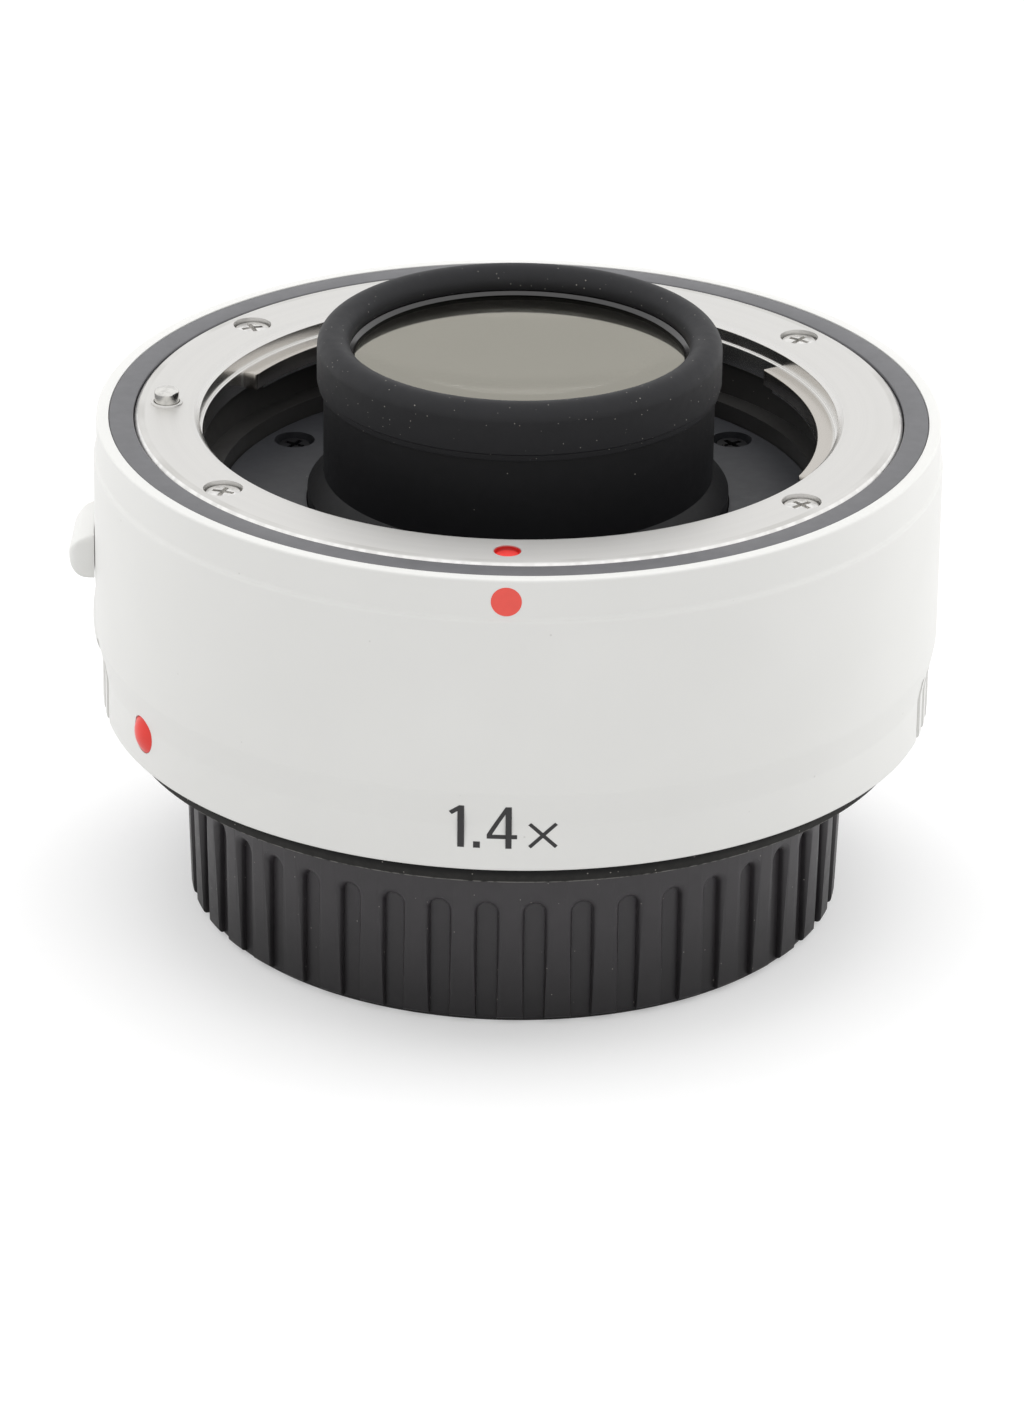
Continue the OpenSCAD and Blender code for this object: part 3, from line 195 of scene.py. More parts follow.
def drawn(name, points):
    """A new mesh, left in edit mode: a chain of edges through the points."""
    bpy.ops.object.select_all(action="DESELECT")
    bpy.ops.mesh.primitive_plane_add(size=MM)
    piece = added(name)
    bpy.ops.object.mode_set(mode="EDIT")
    bpy.ops.mesh.merge(type="CENTER")
    here = Vector((0, 0, 0))
    for number, point in enumerate(points):
        move = (Vector(point) - here) * MM
        if number == 0:
            bpy.ops.transform.translate(value=move)
        else:
            bpy.ops.mesh.extrude_vertices_move(TRANSFORM_OT_translate={"value": move})
        here = Vector(point)
    bpy.ops.mesh.select_all(action="SELECT")
    return piece


def closed_up():
    """Merges doubled corners, turns the faces outwards and leaves edit mode."""
    bpy.ops.mesh.select_all(action="SELECT")
    bpy.ops.mesh.remove_doubles(threshold=MERGE_REACH * MM)
    bpy.ops.mesh.normals_make_consistent(inside=False)
    bpy.ops.object.mode_set(mode="OBJECT")


def turned(name, outline, steps=ROUND_STEPS, centre=(0, 0), first=0, sweep=360):
    """A closed outline of (radius, height) points spun about an upright axis."""
    points = []
    for radius, height in outline + outline[:1]:
        across, along = polar(radius, first)
        points.append((centre[0] + across, centre[1] + along, height))
    piece = drawn(name, points)
    bpy.ops.mesh.spin(
        steps=steps,
        angle=-math.radians(sweep),
        center=(centre[0] * MM, centre[1] * MM, 0),
        axis=(0, 0, 1),
    )
    if sweep < 360:
        bpy.ops.mesh.select_all(action="SELECT")
        bpy.ops.mesh.remove_doubles(threshold=MERGE_REACH * MM)
        bpy.ops.mesh.fill_holes(sides=0)
    closed_up()
    return piece


def slab(name, points, pull):
    """A flat outline, filled and pulled out along a direction."""
    piece = drawn(name, points)
    bpy.ops.mesh.edge_face_add()
    bpy.ops.mesh.extrude_region_move(TRANSFORM_OT_translate={"value": Vector(pull) * MM})
    closed_up()
    return piece


def settled(piece):
    """Writes an object's place, turn and scale into its mesh."""
    select_only(piece)
    bpy.ops.object.transform_apply(location=True, rotation=True, scale=True)
    return piece


def rod(name, radius, low, high, centre, sides=64):
    """An upright round bar."""
    bpy.ops.object.select_all(action="DESELECT")
    bpy.ops.mesh.primitive_cylinder_add(
        vertices=sides,
        radius=radius * MM,
        depth=(high - low) * MM,
        location=(centre[0] * MM, centre[1] * MM, (low + high) / 2 * MM),
    )
    return settled(added(name))


def block(name, low, high):
    """A box between two corners."""
    bpy.ops.object.select_all(action="DESELECT")
    bpy.ops.mesh.primitive_cube_add(
        size=1,
        location=(Vector(low) + Vector(high)) / 2 * MM,
        scale=(Vector(high) - Vector(low)) * MM,
    )
    return settled(added(name))


def ball(name, radii, centre):
    """An egg shape of three radii."""
    bpy.ops.object.select_all(action="DESELECT")
    bpy.ops.mesh.primitive_uv_sphere_add(
        segments=64,
        ring_count=32,
        radius=1,
        location=Vector(centre) * MM,
        scale=Vector(radii) * MM,
    )
    return settled(added(name))


def copy_of(piece, angle):
    """A copy with a mesh of its own, turned about the part's axis."""
    select_only(piece)
    bpy.ops.object.duplicate()
    copy = bpy.context.object
    copy.rotation_euler.z = math.radians(angle)
    return settled(copy)


def joined(pieces, name):
    """Several pieces as one object."""
    bpy.ops.object.select_all(action="DESELECT")
    for piece in pieces:
        piece.select_set(True)
    bpy.context.view_layer.objects.active = pieces[0]
    bpy.ops.object.join()
    return added(name)


def ring_of(piece, angles, name):
    """A piece made at angle 0, repeated at each angle."""
    copies = [copy_of(piece, angle) for angle in angles]
    bpy.data.objects.remove(piece)
    return joined(copies, name)


def worked(piece, kind, **settings):
    """Adds a modifier, sets it and applies it."""
    select_only(piece)
    change = piece.modifiers.new(kind.lower(), kind)
    for name, value in settings.items():
        setattr(change, name, value)
    bpy.ops.object.modifier_apply(modifier=change.name)
    return piece


def carve(piece, tool, operation="DIFFERENCE"):
    """Cuts a tool out of a piece, unites them or keeps what they share, and deletes the tool."""
    worked(piece, "BOOLEAN", operation=operation, solver="EXACT", object=tool)
    bpy.data.objects.remove(tool)
    return piece


def soften(piece, width, angle=40):
    """Rounds the edges that are sharper than an angle."""
    return worked(
        piece,
        "BEVEL",
        width=width * MM,
        segments=2,
        limit_method="ANGLE",
        angle_limit=math.radians(angle),
    )


def smooth(piece, angle=30):
    """Shades a piece smoothly, apart from the edges that are sharper than an angle."""
    select_only(piece)
    bpy.ops.object.shade_smooth_by_angle(angle=math.radians(angle))
    return piece


def refined(node, name):
    """A smoothly shaded copy of a CAD node's own shape."""
    piece = bpy.data.objects.new(name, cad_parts[node].data.copy())
    bpy.context.collection.objects.link(piece)
    select_only(piece)
    bpy.ops.mesh.customdata_custom_splitnormals_clear()
    bpy.ops.object.mode_set(mode="EDIT")
    closed_up()
    return smooth(piece)


def hand_over(piece, node, finish, body="converter"):
    """Dresses a piece, seats it on its body and lets it stand for its CAD node, if it has one."""
    piece.data.materials.clear()
    piece.data.materials.append(finish)
    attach(piece, body)
    if node:
        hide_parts(node)
    return piece


# Finishes

class Wire:
    """A node's output. Arithmetic on it adds Math nodes."""

    def __init__(self, net, socket):
        self.net = net
        self.socket = socket

    def __add__(self, other):
        return self.net.math("ADD", self, other)

    def __radd__(self, other):
        return self.net.math("ADD", other, self)

    def __sub__(self, other):
        return self.net.math("SUBTRACT", self, other)

    def __rsub__(self, other):
        return self.net.math("SUBTRACT", other, self)

    def __mul__(self, other):
        return self.net.math("MULTIPLY", self, other)

    def __rmul__(self, other):
        return self.net.math("MULTIPLY", other, self)


class Net:
    """The nodes of one material or of the world."""

    def __init__(self, tree):
        self.tree = tree
        tree.nodes.clear()

    def node(self, kind, settings, sockets, output=0):
        """Adds a node: its settings first, then its socket values or links."""
        made = self.tree.nodes.new("ShaderNode" + kind)
        for name, value in settings.items():
            setattr(made, name, value)
        for name, value in sockets.items():
            if isinstance(value, Wire):
                self.tree.links.new(value.socket, made.inputs[name])
            else:
                made.inputs[name].default_value = value
        if output is None:
            return [Wire(self, socket) for socket in made.outputs]
        return Wire(self, made.outputs[output])

    def math(self, operation, a, b=0.0, clamp=False):
        """An operation on one or two values."""
        return self.node("Math", {"operation": operation, "use_clamp": clamp}, {0: a, 1: b})

    def place(self):
        """The place on the part, in millimetres."""
        spot = self.node("TexCoord", {}, {}, "Object")
        return self.node("VectorMath", {"operation": "SCALE"}, {0: spot, "Scale": 1000.0})

    def round_place(self):
        """The distance from the part's axis, the angle about it and the height."""
        x, y, z = self.node("SeparateXYZ", {}, {0: self.place()}, None)
        return self.math("SQRT", x * x + y * y), self.math("ARCTAN2", y, x), z

    def noise(self, scale, detail=2.0):
        """A cloudy pattern, finer for a larger scale."""
        return self.node(
            "TexNoise", {}, {"Vector": self.place(), "Scale": scale, "Detail": detail}
        )

    def lines(self, across, scale, detail=3.0):
        """Uneven lines along a value, such as the rings a lathe leaves."""
        return self.node(
            "TexNoise",
            {"noise_dimensions": "1D"},
            {"W": across, "Scale": scale, "Detail": detail},
        )

    def step(self, value, low, high):
        """Turns smoothly from 0 at one value to 1 at another."""
        return self.node(
            "MapRange",
            {"interpolation_type": "SMOOTHSTEP"},
            {"Value": value, "From Min": low, "From Max": high},
        )

    def specks(self, scale, size, share):
        """Dust: small spots at some of the cells of a scatter."""
        distance, colour = self.node(
            "TexVoronoi", {}, {"Vector": self.place(), "Scale": scale}, None
        )[:2]
        lot = self.node("SeparateColor", {}, {0: colour}, None)[0]
        return self.step(distance, size, size * 0.5) * self.math("LESS_THAN", lot, share)

    def mix(self, factor, a, b):
        """A colour between two."""
        return self.node("Mix", {"data_type": "RGBA"}, {0: factor, 6: a, 7: b}, 2)

    def bump(self, height, strength, depth):
        """A fine relief, with its depth in millimetres."""
        return self.node(
            "Bump", {}, {"Strength": strength, "Distance": depth * MM, "Height": height}
        )

    def shader(self, **sockets):
        """The main shader. An underscore in a socket's name stands for a space."""
        return self.node(
            "BsdfPrincipled", {}, {key.replace("_", " "): sockets[key] for key in sockets}
        )

    def output(self, surface, kind="OutputMaterial"):
        """Ends the net in a surface."""
        self.node(kind, {}, {"Surface": surface}, None)


def new_finish(name):
    """A new material and its empty net of nodes."""
    material = bpy.data.materials.new(name)
    material.use_nodes = True
    return material, Net(material.node_tree)


def grey(level):
    """A grey colour."""
    return level, level, level, 1.0


def shaded(colour, factor):
    """A colour made darker or lighter."""
    return tuple(min(part * factor, 1.0) for part in colour[:3]) + (1,)


def make_white_paint(name, grain):
    """Satin paint with a fine grain, a slight change of shade and a few worn specks."""
    material, net = new_finish(name)
    shade = net.noise(0.12, 1.0)
    colour = net.mix(shade, (0.735, 0.733, 0.713, 1), (0.765, 0.763, 0.743, 1))
    worn = net.specks(0.55, 0.07, 0.12) * 0.35
    colour = net.mix(worn, colour, (0.42, 0.41, 0.39, 1))
    rough = net.noise(0.8) * 0.1 + 0.38
    relief = net.bump(net.noise(7.0, 3.0), grain, 0.01)
    net.output(net.shader(Base_Color=colour, Roughness=rough, Normal=relief))
    return material


def make_turned_steel(name, colour, low, span, strength):
    """Bright steel with the lathe's rings, painted shade on the tabs, a worn rim and a polished
    chamfer with painted glints.
    """
    material, net = new_finish(name)
    radius, angle, height = net.round_place()
    rings = net.lines(radius, 5.0)
    soft = net.lines(radius, 0.7, 1.0)
    shade = net.mix(soft, colour, shaded(colour, 0.9))
    # Painted shade: the steel of the tabs, which sit down in the throat, is darkened.
    tab = net.step(radius, THROAT_R - 0.3, THROAT_R - 0.5)
    shade = net.mix(tab, shade, (0.56, 0.53, 0.49, 1))
    worn = net.step(radius, PLATE_R - 1.0, PLATE_R - 0.7) * net.step(net.noise(0.2, 1.0), 0.25, 0.75)
    shade = net.mix(worn * 0.4, shade, (0.5, 0.49, 0.46, 1))
    # Painted highlight: the outer chamfer is lifted to near white in broken dashes, as glints.
    chamfer = net.step(radius, PLATE_R - 0.5, PLATE_R - 0.4) * net.step(height, TOP - 0.02, TOP - 0.1)
    glint_dashes = net.step(net.lines(angle, 30.0, 1.0), 0.35, 0.65) * 0.5 + 0.5
    shade = net.mix(chamfer * glint_dashes, shade, (0.97, 0.96, 0.94, 1))
    inside = net.step(radius, THROAT_R + 0.7, THROAT_R + 0.2)
    rough = rings * span + low - inside * 0.24 - chamfer * 0.15 + net.noise(0.3) * 0.04
    relief = net.bump(rings, strength, 0.004)
    net.output(net.shader(Base_Color=shade, Metallic=1.0, Roughness=rough, Normal=relief))
    return material


def make_metal(name, colour, low):
    """Plain metal with small wear."""
    material, net = new_finish(name)
    cloud = net.noise(1.6, 4.0)
    shade = net.mix(net.step(cloud, 0.4, 0.7), colour, shaded(colour, 0.8))
    net.output(net.shader(Base_Color=shade, Metallic=1.0, Roughness=cloud * 0.2 + low))
    return material


def make_dark(name, colour, low, grain, dust, shine=0.5, painted_foot_shade=0.0):
    """Dark paint, plastic or rubber with a fine grain, some dust and perhaps painted shade that
    darkens its foot.
    """
    material, net = new_finish(name)
    shade = net.mix(net.noise(0.6, 3.0), colour, shaded(colour, 1.35))
    # Painted shade: the colour darkens towards the foot, from CAP_SHADE_TOP down to 0.
    if painted_foot_shade:
        height = net.round_place()[2]
        shade = net.mix(net.step(height, CAP_SHADE_TOP, 0.0) * painted_foot_shade, shade, grey(0.004))
    if dust:
        fine = net.specks(2.2, 0.13, dust * 0.35)
        coarse = net.specks(0.8, 0.06, dust * 0.7)
        shade = net.mix(net.math("MAXIMUM", fine, coarse) * 0.8, shade, DUST)
    rough = net.noise(1.1) * 0.14 + low
    relief = net.bump(net.noise(9.0, 3.0), grain, 0.015)
    net.output(
        net.shader(Base_Color=shade, Roughness=rough, Normal=relief, Specular_IOR_Level=shine)
    )
    return material


def make_plain(name, colour, roughness):
    """A plain colour with a slight change of shade."""
    material, net = new_finish(name)
    shade = net.mix(net.noise(1.0), colour, shaded(colour, 1.12))
    net.output(net.shader(Base_Color=shade, Roughness=roughness))
    return material


def make_well(name):
    """Red paint in the index well, with painted shade on its wall and bright on its floor."""
    material, net = new_finish(name)
    height = net.round_place()[2]
    # Painted shade: the red is darkened on the well's wall, where shade falls.
    wall = net.step(height, TOP - 0.44, TOP - 0.3)
    shade = net.mix(wall, (0.88, 0.03, 0.02, 1), (0.46, 0.012, 0.01, 1))
    net.output(net.shader(Base_Color=shade, Roughness=0.3))
    return material


def make_glass(name, colour, roughness, veil):
    """Lens glass, with a coating that mirrors more of the light aslant where it has a veil."""
    material, net = new_finish(name)
    haze = net.noise(0.4) * 0.03 + roughness
    surface = net.shader(Base_Color=colour, Roughness=haze, Transmission_Weight=1.0, IOR=1.52)
    if veil:
        coating = net.node("BsdfGlossy", {}, {"Color": (0.36, 0.347, 0.30, 1), "Roughness": 0.05})
        aslant = net.node("LayerWeight", {}, {"Blend": 0.5}, "Facing")
        share = net.math("MULTIPLY", aslant, veil, True)
        surface = net.node("MixShader", {}, {0: share, 1: surface, 2: coating})
    net.output(surface)
    return material


def make_seal(name):
    """Black rubber with dust that thickens towards its lower edge, painted shade at its top under the
    barrel, and a pale line of dust and painted highlight along its lower edge.
    """
    material, net = new_finish(name)
    height = net.round_place()[2]
    cloud = net.noise(1.5, 4.0)
    # Painted shade: the dusty grey gives way to near black towards the top, where the barrel
    # overhangs the ring; the cloud adds uneven dust.
    dust_and_shade = net.step(height, SEAL_FOOT + 1.2, SEAL_FOOT + 0.5) * (cloud * 0.8 + 0.2)
    shade = net.mix(dust_and_shade, grey(0.005), (0.03, 0.029, 0.027, 1))
    # Painted highlight and dust: a pale broken line along the lower edge, where its rounding catches
    # the light.
    edge = net.step(height, SEAL_FOOT + 0.22, SEAL_FOOT + 0.1) * net.step(cloud, 0.3, 0.6)
    shade = net.mix(edge, shade, (0.16, 0.155, 0.145, 1))
    shade = net.mix(net.specks(1.6, 0.12, 0.3) * 0.7, shade, DUST)
    net.output(net.shader(Base_Color=shade, Roughness=0.7, Specular_IOR_Level=0.2))
    return material


white_paint = make_white_paint("white_paint", grain=0.12)
white_plastic = make_white_paint("white_knob", grain=0.2)
cast_metal = make_plain("cast_frame", (0.30, 0.30, 0.30, 1), roughness=0.5)
red_mark = make_plain("red_mark", (0.74, 0.035, 0.025, 1), roughness=0.3)
red_paint = make_plain("red_paint", (0.78, 0.082, 0.062, 1), roughness=0.45)
red_well = make_well("red_well")
board_green = make_plain("board_green", (0.02, 0.11, 0.05, 1), roughness=0.4)
flex_film = make_plain("flex_film", (0.24, 0.10, 0.03, 1), roughness=0.35)
black_print = make_plain("black_print", (0.02, 0.019, 0.02, 1), roughness=0.5)
mount_steel = make_turned_steel(
    "mount_steel", (0.81, 0.80, 0.78, 1), low=0.38, span=0.16, strength=0.35
)
screw_steel = make_metal("screw_steel", (0.88, 0.87, 0.85, 1), low=0.2)
pin_steel = make_metal("pin_steel", (0.78, 0.77, 0.74, 1), low=0.12)
shim_steel = make_metal("shim_steel", (0.55, 0.55, 0.54, 1), low=0.3)
spring_steel = make_metal("spring_steel", (0.52, 0.52, 0.52, 1), low=0.25)
gold_contact = make_metal("gold_contact", (0.80, 0.58, 0.24, 1), low=0.2)
black_trim = make_dark("satin_trim", (0.098, 0.098, 0.104, 1), low=0.34, grain=0.1, dust=0)
black_metal = make_dark(
    "black_metal", (0.008, 0.008, 0.009, 1), low=0.4, grain=0.15, dust=0.04, shine=0.35
)
throat_black = make_dark(
    "throat_black", (0.026, 0.025, 0.024, 1), low=0.34, grain=0.15, dust=0.04
)
keeper_black = make_dark(
    "keeper_black", (0.02, 0.019, 0.019, 1), low=0.1, grain=0.05, dust=0, shine=0.9
)
floor_black = make_dark("floor_black", (0.03, 0.031, 0.035, 1), low=0.42, grain=0.2, dust=0.05)
black_rubber = make_dark(
    "black_rubber", (0.0112, 0.0112, 0.0128, 1), low=0.5, grain=0.3, dust=1.0, shine=0.35
)
black_plastic = make_dark(
    "black_plastic", (0.016, 0.016, 0.017, 1), low=0.36, grain=0.15, dust=0.03
)
# Painted shade: the cap darkens towards its foot.
cap_plastic = make_dark(
    "cap_plastic", (0.033, 0.030, 0.033, 1), low=0.31, grain=0.22, dust=0.2, painted_foot_shade=0.6
)
seal_dust_and_painted_light = make_seal("seal_dust_and_painted_light")
lens_glass = make_glass("lens_glass", (0.95, 0.95, 0.93, 1), roughness=0.0, veil=1.3)
inner_glass = make_glass("inner_glass", (0.84, 0.82, 0.76, 1), roughness=0.3, veil=0)


# The barrel with its grips and swelling, its trim ring and its index bead

barrel = turned(
    "barrel",
    rounded([
        (BARREL_IN_R, BARREL_FOOT, 0.05),
        (REAR_BAND_R, BARREL_FOOT, 0.3),
        (REAR_BAND_R, 22.0, 2.5),
        (BARREL_R, 25.0, 2.5),
        (BARREL_R, 40.4, 0.5),
        (FRONT_BAND_R, 40.65, 0.5),
        (FRONT_BAND_R, RIM, 0.2),
        (BARREL_IN_R, RIM, 0.06),
        (BARREL_IN_R, LEDGE_TOP, 0),
        (LEDGE_R, LEDGE_TOP, 0),
        (LEDGE_R, LEDGE_LOW, 0),
        (BARREL_IN_R, LEDGE_LOW, 0),
    ]),
)
carve(barrel, ball("swelling", SWELLING_RADII, SWELLING_PLACE), "UNION")
carve(barrel, block("knob_slot", (-37.5, -SLOT_HALF, KNOB_FOOT), (-34, SLOT_HALF, SLOT_TOP)))
groove = block(
    "groove",
    (REAR_BAND_R - GRIP_DEPTH, -GRIP_HALF, BARREL_FOOT - 1),
    (38, GRIP_HALF, BARREL_FOOT + GRIP_HEIGHT),
)
groove_angles = [side + GRIP_PITCH * step for side in (0, 180) for step in range(-4, 5)]
carve(barrel, ring_of(groove, groove_angles, "grooves"))
bead_hole = turned(
    "bead_hole",
    [(0, 30), (BEAD_HOLE_R, 30), (BEAD_HOLE_R, 40), (0, 40)],
    steps=48,
)
bead_hole.rotation_euler = (0, math.radians(90), math.radians(BEAD_ANGLE))
bead_hole.location.z = BEAD_HEIGHT * MM
carve(barrel, settled(bead_hole))
hand_over(smooth(barrel), "barrel_shell", white_paint)

trim = turned(
    "trim_ring",
    rounded([(32.6, 43.15, 0), (34.65, 43.15, 0), (34.65, 43.9, 0.08), (32.6, 43.9, 0.1)]),
)
hand_over(smooth(trim), "front_trim_ring", black_trim)

crown = [(0.0, 0.0), (1.6, 0.0), (1.6, 0.66)] + arc((0, -1.2), 2.43, 50, 90, 10)
bead = turned("index_bead", crown, steps=48)
bead.rotation_euler = (0, math.radians(90), math.radians(BEAD_ANGLE))
bead_x, bead_y = polar(BEAD_SEAT_R, BEAD_ANGLE)
bead.location = (bead_x * MM, bead_y * MM, BEAD_HEIGHT * MM)
hand_over(smooth(settled(bead)), "rear_index_bead", red_mark)


# The front mount with its tabs, screws, lock pin and index dot

mount = turned(
    "mount_plate",
    rounded([
        (26.75, 40.5, 0.1),
        (28.2, 40.5, 0.1),
        (28.2, PLATE_LOW, 0),
        (PLATE_R, PLATE_LOW, 0.05),
        (PLATE_R, TOP - PLATE_CHAMFER, 0.06),
        (PLATE_R - PLATE_CHAMFER, TOP, 0.06),
        (THROAT_R + 0.5, TOP, 0.1),
        (THROAT_R, TOP - 0.5, 0.1),
        (THROAT_R, 42.45, 0.05),
        (26.75, 42.45, 0.12),
    ]),
)
bore = rod("bore", BORE_R, TOP - BORE_DEPTH, TOP + 1, (SCREW_CIRCLE_R, 0))
carve(mount, ring_of(bore, MOUNT_SCREW_ANGLES, "bores"))
carve(mount, rod("pin_hole", PIN_HOLE_R, 42, 45, (-PIN_CIRCLE_R, 0)))
carve(mount, rod("dot_well", WELL_R, TOP - WELL_DEPTH, 45, (0, -PIN_CIRCLE_R)))
tab_outline = rounded([
    (25.3, 40.9, 0.12),
    (27.3, 40.9, 0),
    (27.3, PLATE_LOW, 0),
    (25.3, PLATE_LOW, 0.12),
])
tabs = []
for angle in TAB_ANGLES:
    tab = turned("tab", tab_outline, steps=40, first=angle - TAB_SWEEP / 2, sweep=TAB_SWEEP)
    tabs.append(soften(tab, 0.15, 60))
pin_ring = turned(
    "pin_ring",
    rounded([(1.12, 43.9, 0), (1.36, 43.9, 0), (1.36, 44.16, 0.08), (1.12, 44.16, 0.04)]),
    steps=64,
    centre=(-PIN_CIRCLE_R, 0),
)
mount = joined([mount, pin_ring] + tabs, "mount_plate")
hand_over(smooth(mount), "front_mount", mount_steel)


def cross_screw(name, place, cross, head_r, head_low, head_top, shank_r, shank_low):
    """A cross-slotted screw that stands on the X axis, with its cross turned by an angle."""
    head = turned(
        name,
        rounded([
            (0, shank_low, 0),
            (shank_r, shank_low, 0.1),
            (shank_r, head_low, 0),
            (head_r, head_low, 0.05),
            (head_r, head_top, 0.14),
            (0, head_top + 0.06, 0),
        ]),
        steps=64,
        centre=(place, 0),
    )
    for turn in (cross, cross + 90):
        slot = block("slot", (-head_r * 0.62, -0.2, head_top - 0.4), (head_r * 0.62, 0.2, 46))
        slot.rotation_euler.z = math.radians(turn)
        slot.location.x = place * MM
        carve(head, settled(slot))
    return smooth(head)


mount_screws = []
for angle, cross in zip(MOUNT_SCREW_ANGLES, MOUNT_CROSS_TURNS):
    mount_screw = cross_screw(
        "mount_screw",
        SCREW_CIRCLE_R,
        cross,
        head_r=1.5,
        head_low=43.05,
        head_top=43.66,
        shank_r=0.8,
        shank_low=39.4,
    )
    mount_screws.append(ring_of(mount_screw, [angle], "mount_screw"))
mount_screws = joined(mount_screws, "mount_screws")
hand_over(mount_screws, "front_mount_screws", screw_steel)

pin = turned(
    "lock_stud",
    rounded([(0, 31, 0), (PIN_R, 31, 0.1), (PIN_R, PIN_TOP, 0.28), (0, PIN_TOP, 0)]),
    steps=64,
    centre=(-PIN_CIRCLE_R, 0),
)
hand_over(smooth(pin), "lock_pin", pin_steel, "release")

dot = turned(
    "index_dot",
    [(0, 43.25), (1.11, 43.25), (1.11, 43.94), (1.03, 43.94), (1.0, 43.62), (0.9, 43.5), (0, 43.45)],
    steps=48,
    centre=(0, -PIN_CIRCLE_R),
)
hand_over(smooth(dot, 50), "mount_index_dot", red_well)


# The release knob

def knob_shape():
    """The knob's side outline pulled across, met by its plan pulled up, and worn smooth."""
    side = rounded([
        (KNOB_BACK, KNOB_FOOT, 0),
        (KNOB_OUT, KNOB_FOOT, 1.7),
        (KNOB_OUT, 31.8, 0.9),
        (-37.3, 32.75, 0.9),
        (-36.2, KNOB_TOP, 1.2),
        (KNOB_BACK, KNOB_TOP, 0),
    ], 12)
    shape = slab("knob", [(x, -KNOB_HALF, z) for x, z in side], (0, KNOB_HALF * 2, 0))
    plan = rounded([
        (KNOB_OUT, -KNOB_HALF, 1.2),
        (KNOB_OUT, KNOB_HALF, 1.2),
        (-34, KNOB_HALF, 0),
        (-34, -KNOB_HALF, 0),
    ], 12)
    carve(shape, slab("plan", [(x, y, 29) for x, y in plan], (0, 0, 7)), "INTERSECT")
    worked(shape, "REMESH", mode="VOXEL", voxel_size=KNOB_GRAIN * MM)
    worked(shape, "SMOOTH", factor=0.5, iterations=60)
    return carve(shape, rod("seat", KNOB_SEAT_R, 28, 36, (0, 0), 720))


knob = knob_shape()
neck = soften(block("neck", (-36.6, -3.2, 31.1), (-32.4, 3.2, 32.9)), 0.1)
knob = joined([knob, neck], "knob")
hand_over(smooth(knob), "release_knob", white_plastic, "release")


# The throat: its wall, floor, screws and contact block

for node, name, finish, slot in (
    ("throat_ring", "throat_wall", throat_black, "cast_frame"),
    ("floor_plate", "throat_floor", floor_black, "black_plastic"),
    ("floor_screws", "throat_screws", black_metal, "black_metal"),
    ("front_contact_block", "contact_block", black_plastic, "black_plastic"),
):
    hand_over(refined(node, name), node, finish)
hand_over(
    refined("front_contact_pins", "contact_pins"),
    "front_contact_pins",
    gold_contact,
    "contact_row",
)


# The lens tube, hood and glass

hand_over(refined("front_tube", "lens_tube"), "front_tube", black_metal)

lip = list(reversed(arc(LIP_CENTRE, LIP_R, 0, 200.9, 28)))
foot = rounded([
    (HOOD_R, HOOD_FOOT + 0.63, 0),
    (HOOD_FOOT_R, HOOD_FOOT + 0.5, 0),
    (HOOD_FOOT_R, HOOD_FOOT, 0.05),
    (HOOD_IN_R, HOOD_FOOT, 0),
    (HOOD_IN_R, 49.3, 0),
])
hood = turned("hood", lip + foot)
hand_over(smooth(hood), "hood_ring", black_rubber)

keeper = turned(
    "front_keeper",
    rounded([
        (KEEPER_IN_R, KEEPER_LOW, 0),
        (KEEPER_R, KEEPER_LOW, 0),
        (KEEPER_R, KEEPER_TOP, 0),
        (14.4, KEEPER_TOP, 0.05),
        (KEEPER_IN_R, 48.7, 0.05),
    ]),
)
hand_over(smooth(keeper), "front_retaining_ring", keeper_black)

for node in (
    "front_lens_a",
    "front_lens_b",
    "middle_lens_a",
    "middle_lens_b",
    "middle_lens_c",
    "rear_lens_a",
    "rear_lens_b",
):
    lens = refined(node, node.replace("lens", "glass"))
    glass = inner_glass
    if node == "front_lens_a":
        glass = lens_glass
        flat_front = rod("flat_front", FLAT_GLASS_R, 47.5, FLAT_GLASS_TOP, (0, 0), 192)
        smooth(carve(lens, flat_front, "UNION"))
    hand_over(lens, node, glass)


# The rear cap and the seal above it

seal = turned(
    "seal_ring",
    rounded([
        (32.6, SEAL_FOOT, 0.3),
        (33.7, SEAL_FOOT, 0.25),
        (34.3, 18, 0),
        (34.3, 19, 0),
        (32.6, 19, 0),
    ]),
)
hand_over(smooth(seal), "rear_seal_ring", seal_dust_and_painted_light)

cap = turned(
    "fluted_cap",
    rounded([
        (0, 0, 0),
        (27.3, 0, 0.3),
        (27.45, CAP_STEP, 0.1),
        (28.03, CAP_STEP, 0.35),
        (28.55, CAP_TOP, 0.2),
        (CAP_IN_R, CAP_TOP, 0.1),
        (CAP_IN_R, CAP_FLOOR, 0.3),
        (0, CAP_FLOOR, 0),
    ]),
    steps=FLUTE_COUNT * 7,
)
roll = arc((FLUTE_ROLL_AT, FLUTE_HALF + FLUTE_ROLL), FLUTE_ROLL, -90, 0, 8)
half_flute = [(FLUTE_FLOOR, FLUTE_HALF)] + roll + [(FLUTE_OUT, FLUTE_HALF + FLUTE_ROLL)]
whole_flute = half_flute + [(x, -y) for x, y in reversed(half_flute)]
flute = slab("flute", [(x, y, FLUTE_TOP - 0.03) for x, y in whole_flute], (0, 0, -FLUTE_TOP - 1))
dome_outline = [(0, FLUTE_FLOOR)] + [(y, x) for x, y in half_flute] + [(0, FLUTE_OUT)]
dome = turned("flute_top", dome_outline, steps=32)
dome.rotation_euler.y = math.radians(90)
dome.location.z = FLUTE_TOP * MM
carve(flute, settled(dome), "UNION")
flute_angles = [360 / FLUTE_COUNT * step + FLUTE_TURN for step in range(FLUTE_COUNT)]
carve(cap, ring_of(flute, flute_angles, "flutes"))
